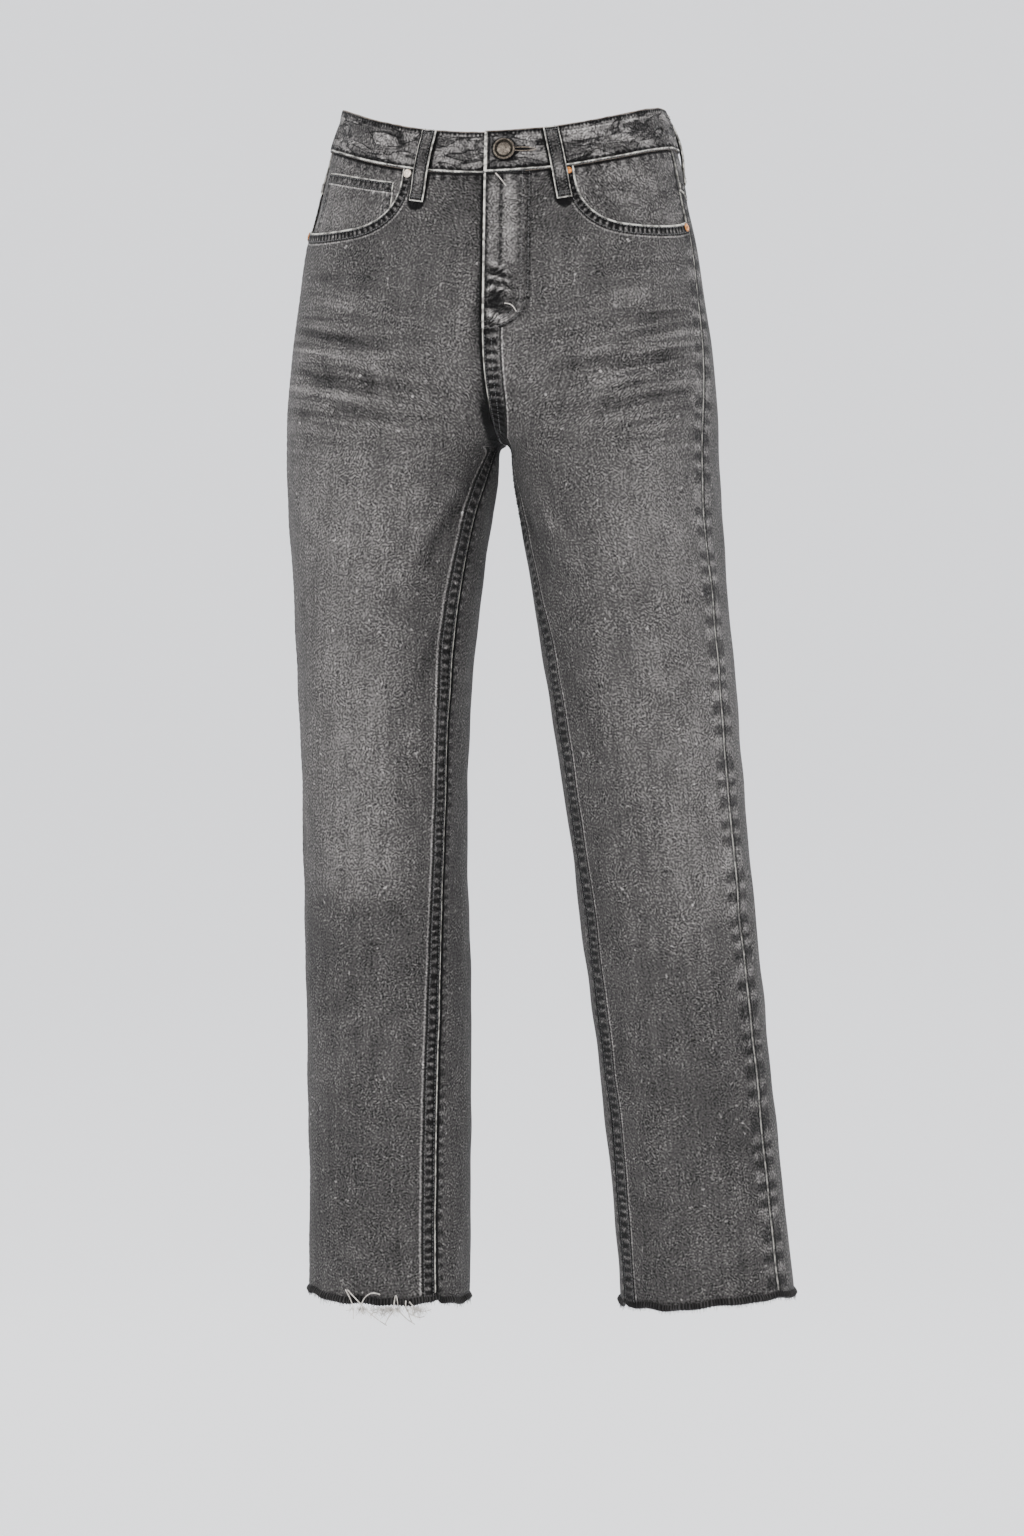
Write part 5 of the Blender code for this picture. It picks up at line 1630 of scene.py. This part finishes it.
threadDark = makeYarn("thread_black", (0.014, 0.014, 0.015), (0.050, 0.049, 0.047), 900.0)
yarnGrey = makeYarn("hem_yarn_grey", (0.030, 0.030, 0.031), (0.16, 0.155, 0.15), 260.0)
yarnPale = makeYarn("loose_yarn_pale", (0.30, 0.275, 0.24), (0.68, 0.64, 0.58), 300.0)
yarnTan = makeYarn("thread_tan", (0.16, 0.12, 0.085), (0.34, 0.27, 0.20), 500.0)
agedNickel = makeMetal("button_aged_nickel", (0.045, 0.037, 0.030), (0.145, 0.122, 0.098), (0.40, 0.35, 0.28), 0.34)
grooveNickel = makeMetal("button_dark_groove", (0.008, 0.007, 0.006), (0.030, 0.026, 0.021), (0.09, 0.08, 0.06), 0.45)
wornCopper = makeMetal("rivet_worn_copper", (0.26, 0.085, 0.022), (0.58, 0.24, 0.070), (0.76, 0.42, 0.17), 0.30)
# the same copper with its highlight painted in, for the rivet that catches the light
highlightCopper = makeMetal("rivet_copper_painted_highlight", (0.42, 0.34, 0.27), (0.72, 0.65, 0.56), (0.92, 0.88, 0.80), 0.28)
print("materials ready")


# Rows of stitches, each a short rounded float of thread laid on the cloth
stitch = {
    "pitch": 0.0031, "long": 0.0025, "thick": 0.00072, "lift": 0.00012,
    "rows": (0.0023, 0.0079), "wideRow": 0.0141, "pocketHem": 0.0120, "bandRows": (0.0032, 0.0034),
    "coinRows": (("innerGap", 0.0022), ("outerGap", 0.0022), ("innerGap", 0.0070)), "loopEdge": 0.0027,
}


def makeStitchTree():
    tree = bpy.data.node_groups.new("stitch_row", "GeometryNodeTree")
    new = tree.interface.new_socket
    new("Geometry", in_out="INPUT", socket_type="NodeSocketGeometry")
    sizes = {}
    for label in ("Pitch", "Long", "Thick"):
        sizes[label] = new(label, in_out="INPUT", socket_type="NodeSocketFloat")
    sizes["Thread"] = new("Thread", in_out="INPUT", socket_type="NodeSocketMaterial")
    new("Geometry", in_out="OUTPUT", socket_type="NodeSocketGeometry")
    nodes, join = tree.nodes, tree.links.new
    given = nodes.new("NodeGroupInput").outputs
    curve = nodes.new("GeometryNodeMeshToCurve")
    join(given["Geometry"], curve.inputs["Mesh"])
    points = nodes.new("GeometryNodeCurveToPoints")
    points.mode = "LENGTH"
    join(curve.outputs["Curve"], points.inputs["Curve"])
    join(given["Pitch"], points.inputs["Length"])
    ball = nodes.new("GeometryNodeMeshUVSphere")
    setInputs(ball, {"Segments": 6, "Rings": 5, "Radius": 0.5})
    up = nodes.new("GeometryNodeInputNamedAttribute")
    up.data_type = "FLOAT_VECTOR"
    up.inputs["Name"].default_value = "up"
    lengthways = nodes.new("FunctionNodeAlignRotationToVector")
    lengthways.axis = "X"
    join(points.outputs["Tangent"], lengthways.inputs["Vector"])
    upright = nodes.new("FunctionNodeAlignRotationToVector")
    upright.axis = "Z"
    upright.pivot_axis = "X"
    join(lengthways.outputs[0], upright.inputs["Rotation"])
    join(up.outputs["Attribute"], upright.inputs["Vector"])
    uneven = nodes.new("FunctionNodeRandomValue")
    uneven.data_type = "FLOAT"
    setInputs(uneven, {2: 0.80, 3: 1.10, "Seed": 5})
    length = nodes.new("ShaderNodeMath")
    length.operation = "MULTIPLY"
    join(given["Long"], length.inputs[0])
    join(uneven.outputs[1], length.inputs[1])
    size = nodes.new("ShaderNodeCombineXYZ")
    join(length.outputs[0], size.inputs[0])
    join(given["Thick"], size.inputs[1])
    join(given["Thick"], size.inputs[2])
    put = nodes.new("GeometryNodeInstanceOnPoints")
    join(points.outputs["Points"], put.inputs["Points"])
    join(ball.outputs["Mesh"], put.inputs["Instance"])
    join(upright.outputs[0], put.inputs["Rotation"])
    join(size.outputs[0], put.inputs["Scale"])
    real = nodes.new("GeometryNodeRealizeInstances")
    join(put.outputs["Instances"], real.inputs["Geometry"])
    finish = nodes.new("GeometryNodeSetMaterial")
    join(real.outputs["Geometry"], finish.inputs["Geometry"])
    join(given["Thread"], finish.inputs["Material"])
    join(finish.outputs["Geometry"], nodes.new("NodeGroupOutput").inputs["Geometry"])
    return tree, {label: socket.identifier for label, socket in sizes.items()}


stitchTree, stitchSockets = makeStitchTree()


def carried(piece, slot, *materials):
    for material in materials:
        piece.data.materials.append(material)
    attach(piece, "root")


def sewn(name, rows, thread, pitch=1.0, long=1.0, thick=1.0):
    points, edges, ups = [], [], []
    for line, normals in rows:
        first = len(points)
        points += line.tolist()
        ups += normals.tolist()
        edges += [(first + step, first + step + 1) for step in range(len(line) - 1)]
    mesh = bpy.data.meshes.new(name + "_rows")
    mesh.from_pydata(points, edges, [])
    up = mesh.attributes.new("up", "FLOAT_VECTOR", "POINT")
    up.data.foreach_set("vector", np.array(ups, np.float32).ravel())
    guide = bpy.data.objects.new(name + "_rows", mesh)
    bpy.context.scene.collection.objects.link(guide)
    made = guide.modifiers.new("stitches", "NODES")
    made.node_group = stitchTree
    made[stitchSockets["Thread"]] = thread
    for label, factor in (("Pitch", pitch), ("Long", long), ("Thick", thick)):
        made[stitchSockets[label]] = stitch[label.lower()] * factor
    seen = guide.evaluated_get(bpy.context.evaluated_depsgraph_get())
    plain = bpy.data.meshes.new_from_object(seen)
    bpy.data.objects.remove(guide, do_unlink=True)
    plain.name = name
    plain.shade_smooth()
    piece = bpy.data.objects.new(name, plain)
    bpy.context.scene.collection.objects.link(piece)
    carried(piece, "raw_yarn")


def stitchRow(name, label, distance, across, fromEnd=False, keep=None):
    # the line on a piece at this distance from one of its edges, found along its rows or its columns
    grid, normals, fields = laid[name]
    gap = np.broadcast_to(fields[label], grid.shape[:2])
    keep = np.ones(gap.shape, bool) if keep is None else keep(grid)
    if not across:
        grid, normals, gap, keep = grid.swapaxes(0, 1), normals.swapaxes(0, 1), gap.T, keep.T
    if fromEnd:
        grid, normals, gap, keep = grid[:, ::-1], normals[:, ::-1], gap[:, ::-1], keep[:, ::-1]
    points, ups = [], []
    for line, up, value, good in zip(grid, normals, gap, keep):
        found = np.flatnonzero((value[:-1] <= distance) & (value[1:] > distance) & good[:-1])
        if len(found):
            at = found[0]
            part = (distance - value[at]) / (value[at + 1] - value[at])
            points.append(line[at] * (1 - part) + line[at + 1] * part)
            ups.append(up[at] * (1 - part) + up[at + 1] * part)
    ups = unit(np.array(ups))
    return np.array(points) + ups * stitch["lift"], ups


def joined(*rows):
    return np.concatenate([line for line, _ in rows]), np.concatenate([up for _, up in rows])


def backwards(row):
    return row[0][::-1], row[1][::-1]


def buttonholeRows():
    # two rows that run round the buttonhole and meet at its pointed end
    reach = np.linspace(metal["hole"][0] - 0.001, metal["hole"][1] + 0.001, 40)
    halfOpen = 0.0015 * np.sin(np.linspace(0.15, 1.0, 40) * math.pi) ** 0.5
    rows = []
    for way in (-1, 1):
        height = buttonHeight + way * halfOpen
        turns = turnsAt(left, height, reach)
        normals = outward(left, turns, height)
        rows.append((surface(left, turns, height) + normals * (band["tabProud"] + 0.0005), normals))
    return rows


def higher(limit):
    return lambda grid: grid[..., 2] > limit


def lower(limit):
    return lambda grid: grid[..., 2] < limit


def between(low, high):
    return lambda grid: (grid[..., 2] > low) & (grid[..., 2] < high)


crotch = form["crotch"]
inseamRows, pocketRows, flyRows, backRows = [], [], [], []
for side in (left, right):
    word = sideWord[side]
    front, pocket = "denim_front_" + word, "back_pocket_cloth_" + word
    top = laid[pocket][0][..., 2].max() - 0.002
    foot = laid[pocket][0][0, :, 2].max()
    for distance in stitch["rows"]:
        wide = stitch["wideRow"] if side == left and distance == stitch["rows"][1] else distance
        inseamRows.append(stitchRow(front, "innerGap", wide, True, keep=lower(crotch - 0.006)))
        pocketRows.append(stitchRow(front, "foldGap", distance, False, fromEnd=True))
        backRows.append(stitchRow("denim_yoke_" + word, "topGap", distance, False))
        sides = [
            stitchRow(pocket, "innerGap", distance, True, fromEnd=end, keep=between(foot + 0.004, top))
            for end in (False, True)
        ]
        bottom = stitchRow(pocket, "innerGap", distance, False, keep=lower(foot + 0.012))
        backRows.append(joined(backwards(sides[0]), bottom, sides[1]))
    backRows.append(stitchRow(pocket, "topGap", stitch["pocketHem"], False, fromEnd=True))
for distance in stitch["rows"]:
    aboveFork = between(crotch + 0.004, fly["bottom"] - 0.001)
    flyRows.append(stitchRow("denim_front_left", "innerGap", distance, True, keep=aboveFork))
    backRows.append(stitchRow("denim_back_left", "outerGap", distance, True, True, keep=higher(crotch + 0.004)))
    backRows.append(stitchRow("denim_yoke_left", "innerGap", distance, True, fromEnd=True))
    straight = stitchRow("fly_cloth", "outline", distance, True, True, keep=higher(fly["straight"] + 0.004))
    curved = stitchRow("fly_cloth", "outline", distance, False, keep=lower(fly["straight"]))
    flyRows.append(joined(backwards(straight), backwards(curved)))
    pocketRows.append(stitchRow("coin_pocket_cloth", "topGap", distance, False, fromEnd=True))
for label, distance in stitch["coinRows"]:
    pocketRows.append(stitchRow("coin_pocket_cloth", label, distance, True, fromEnd=label == "outerGap"))
bandRows = [
    stitchRow(
        "waistband_cloth", "topGap", distance, False,
        keep=lambda grid: np.arange(grid.shape[0])[:, None] < band["faceRows"] + 0 * grid[..., 0],
    )
    for distance in (stitch["bandRows"][0], form["bandHeight"] - stitch["bandRows"][1])
]
loopRows, barRows = [], []
for name in loops["places"]:
    grid, normals, _ = laid["belt_loop_cloth_" + name]
    for end in (False, True):
        loopRows.append(stitchRow("belt_loop_cloth_" + name, "innerGap", stitch["loopEdge"], True, end))
    for row in loops["tackRows"]:
        up = normals[row, loops["tackFace"]]
        barRows.append((grid[row, loops["tackFace"]] + up * stitch["lift"], up))
print("stitch guides ready")

sewn("inseam_stitches", inseamRows, threadDark)
sewn("pocket_stitches", pocketRows, threadDark, pitch=0.9, long=0.85)
sewn("fly_stitches", flyRows, threadDark, pitch=0.9, long=0.85)
sewn("back_stitches", backRows, threadDark)
sewn("waistband_stitches", bandRows, threadDark, thick=1.1)
sewn("belt_loop_stitches", loopRows, threadDark, pitch=0.85, long=0.8, thick=0.9)
sewn("belt_loop_bartacks", barRows, threadDark, pitch=0.45, long=0.5, thick=1.2)
sewn("buttonhole_stitches", buttonholeRows(), yarnTan, pitch=0.35, long=0.35, thick=1.2)
print("stitches ready")


# Every piece gets its materials and hangs from the root, and the solid it stands for is hidden
def clothPiece(piece, materials, node):
    carried(piece, "denim", *materials)
    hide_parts(node)


for side in (left, right):
    word = sideWord[side]
    front, back, waist = "denim_front_" + word, "denim_back_" + word, ["waistband_cloth"]
    clothPiece(panels[front], (denimFront[side], inside), "front_" + word)
    clothPiece(panels[back], (denimBack, inside), "back_" + word)
    clothPiece(yokes[side], (denimYoke, inside), "yoke_" + word)
    clothPiece(facings[side], (denimFacing, inside), "pocket_facing_" + word)
    pocket = backPockets[side]
    clothPiece(pocket, (denimPocket, inside), "back_pocket_" + word)
    roll, fringe = hems[side]
    clothPiece(roll, (denimHem,), "hem_fringe_" + word)
    carried(fringe, "raw_yarn", yarnGrey)
clothPiece(coinPocket, (denimPocket, inside), "coin_pocket")
clothPiece(flyPiece, (denimFly, inside), "fly")
clothPiece(waistband, (denimBand,), "waistband")
for name, piece in beltLoops.items():
    clothPiece(piece, (denimLoop,), "belt_loop_" + name)
carried(looseThread, "raw_yarn", yarnPale)
carried(hemFluff, "raw_yarn", yarnPale)
carried(button, "aged_metal", agedNickel, grooveNickel)
grooveFaces = slice(*(ring * metal["buttonSides"] for ring in metal["groove"]))
for face in button.data.polygons[grooveFaces]:
    face.material_index = 1
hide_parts("button")
for (side, label), rivet in rivets.items():
    # one rivet gets the copper with a painted highlight
    carried(rivet, "copper", highlightCopper if (side, label) == (right, "inner") else wornCopper)
    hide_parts(f"rivet_{label}_{sideWord[side]}")


# Studio: a pale floor that sweeps up all round, painted brighter toward its foot as a painted pool of light, and soft
# light
studio = {
    "floor": -1.45, "flat": 3.6, "wall": 6.0, "top": 3.2, "segments": 96,
    "colour": (0.895, 0.895, 0.902), "low": (0.985, 0.985, 0.988), "paintedLightTop": -0.45,
}


def makeStudio():
    profile = [(studio["flat"], 0.0)]
    curve = studio["wall"] - studio["flat"]
    profile += [
        (studio["flat"] + curve * math.sin(a), curve * (1 - math.cos(a))) for a in np.radians(np.arange(6, 91, 6))
    ]
    profile += [(studio["wall"], studio["top"] - studio["floor"])]
    segments = studio["segments"]
    points, faces = [], [tuple(range(segments))]
    for radius, height in profile:
        points += [
            (radius * math.cos(a), radius * math.sin(a), studio["floor"] + height)
            for a in (2 * math.pi * step / segments for step in range(segments))
        ]
    for low in range(0, len(points) - segments, segments):
        for step in range(segments):
            after = (step + 1) % segments
            faces.append((low + after, low + step, low + segments + step, low + segments + after))
    backdrop = addMesh("studio_floor", points, faces)
    material, tree, shader, here = startMaterial("pale_floor")
    split = tree.nodes.new("ShaderNodeSeparateXYZ")
    tree.links.new(here, split.inputs[0])
    # the floor's colour is paler toward its foot: a painted pool of light
    low = slope(tree, split.outputs[2], studio["floor"], studio["paintedLightTop"], 0.88, 0.0)
    tint = total(tree, low, times(tree, noise(tree, here, 1.2, 2.0), 0.12))
    tree.links.new(mixColour(tree, tint, studio["colour"], studio["low"]), shader.inputs["Base Color"])
    setInputs(shader, {"Roughness": 0.9})
    backdrop.data.materials.append(material)


def softLight(name, spot, power, target=(0.0, 0.0, -0.48), size=(1.8, 2.4)):
    lamp = bpy.data.lights.new(name, "AREA")
    lamp.shape = "RECTANGLE"
    lamp.size, lamp.size_y = size
    lamp.energy = power
    obj = bpy.data.objects.new(name, lamp)
    obj.location = spot
    obj.rotation_euler = (Vector(target) - Vector(spot)).to_track_quat("-Z", "Y").to_euler()
    bpy.context.scene.collection.objects.link(obj)


makeStudio()
softLight("key", (-1.9, -3.3, 1.2), 92.0)
softLight("fill", (2.3, -3.0, 0.5), 66.0)
softLight("back_left", (-2.2, 3.0, 1.2), 34.0)
softLight("back_right", (2.2, 3.0, 1.2), 34.0)
world = bpy.data.worlds.new("studio_air")
world.use_nodes = True
setInputs(world.node_tree.nodes["Background"], {"Color": (0.95, 0.96, 1.0, 1.0), "Strength": 1.55})
bpy.context.scene.world = world

# The photograph's view
view = {
    "scale": 0.00085, "distance": 3.1, "turn": 9.0, "frameHigh": 1536, "sensor": 36.0,
    "height": -0.5338, "aside": 0.0017, "shift": 0.006,
}
turn = math.radians(view["turn"])
target = Vector((view["aside"] * math.cos(turn) + view["shift"], view["aside"] * math.sin(turn), view["height"]))
camera = bpy.data.objects.new("camera", bpy.data.cameras.new("camera"))
camera.data.sensor_width = view["sensor"]
camera.data.lens = view["sensor"] * view["distance"] / (view["frameHigh"] * view["scale"])
camera.location = target + view["distance"] * Vector((math.sin(turn), -math.cos(turn), 0.0))
camera.rotation_euler = (math.radians(90.0), 0.0, turn)
bpy.context.scene.collection.objects.link(camera)
bpy.context.scene.camera = camera

print("scene ready")
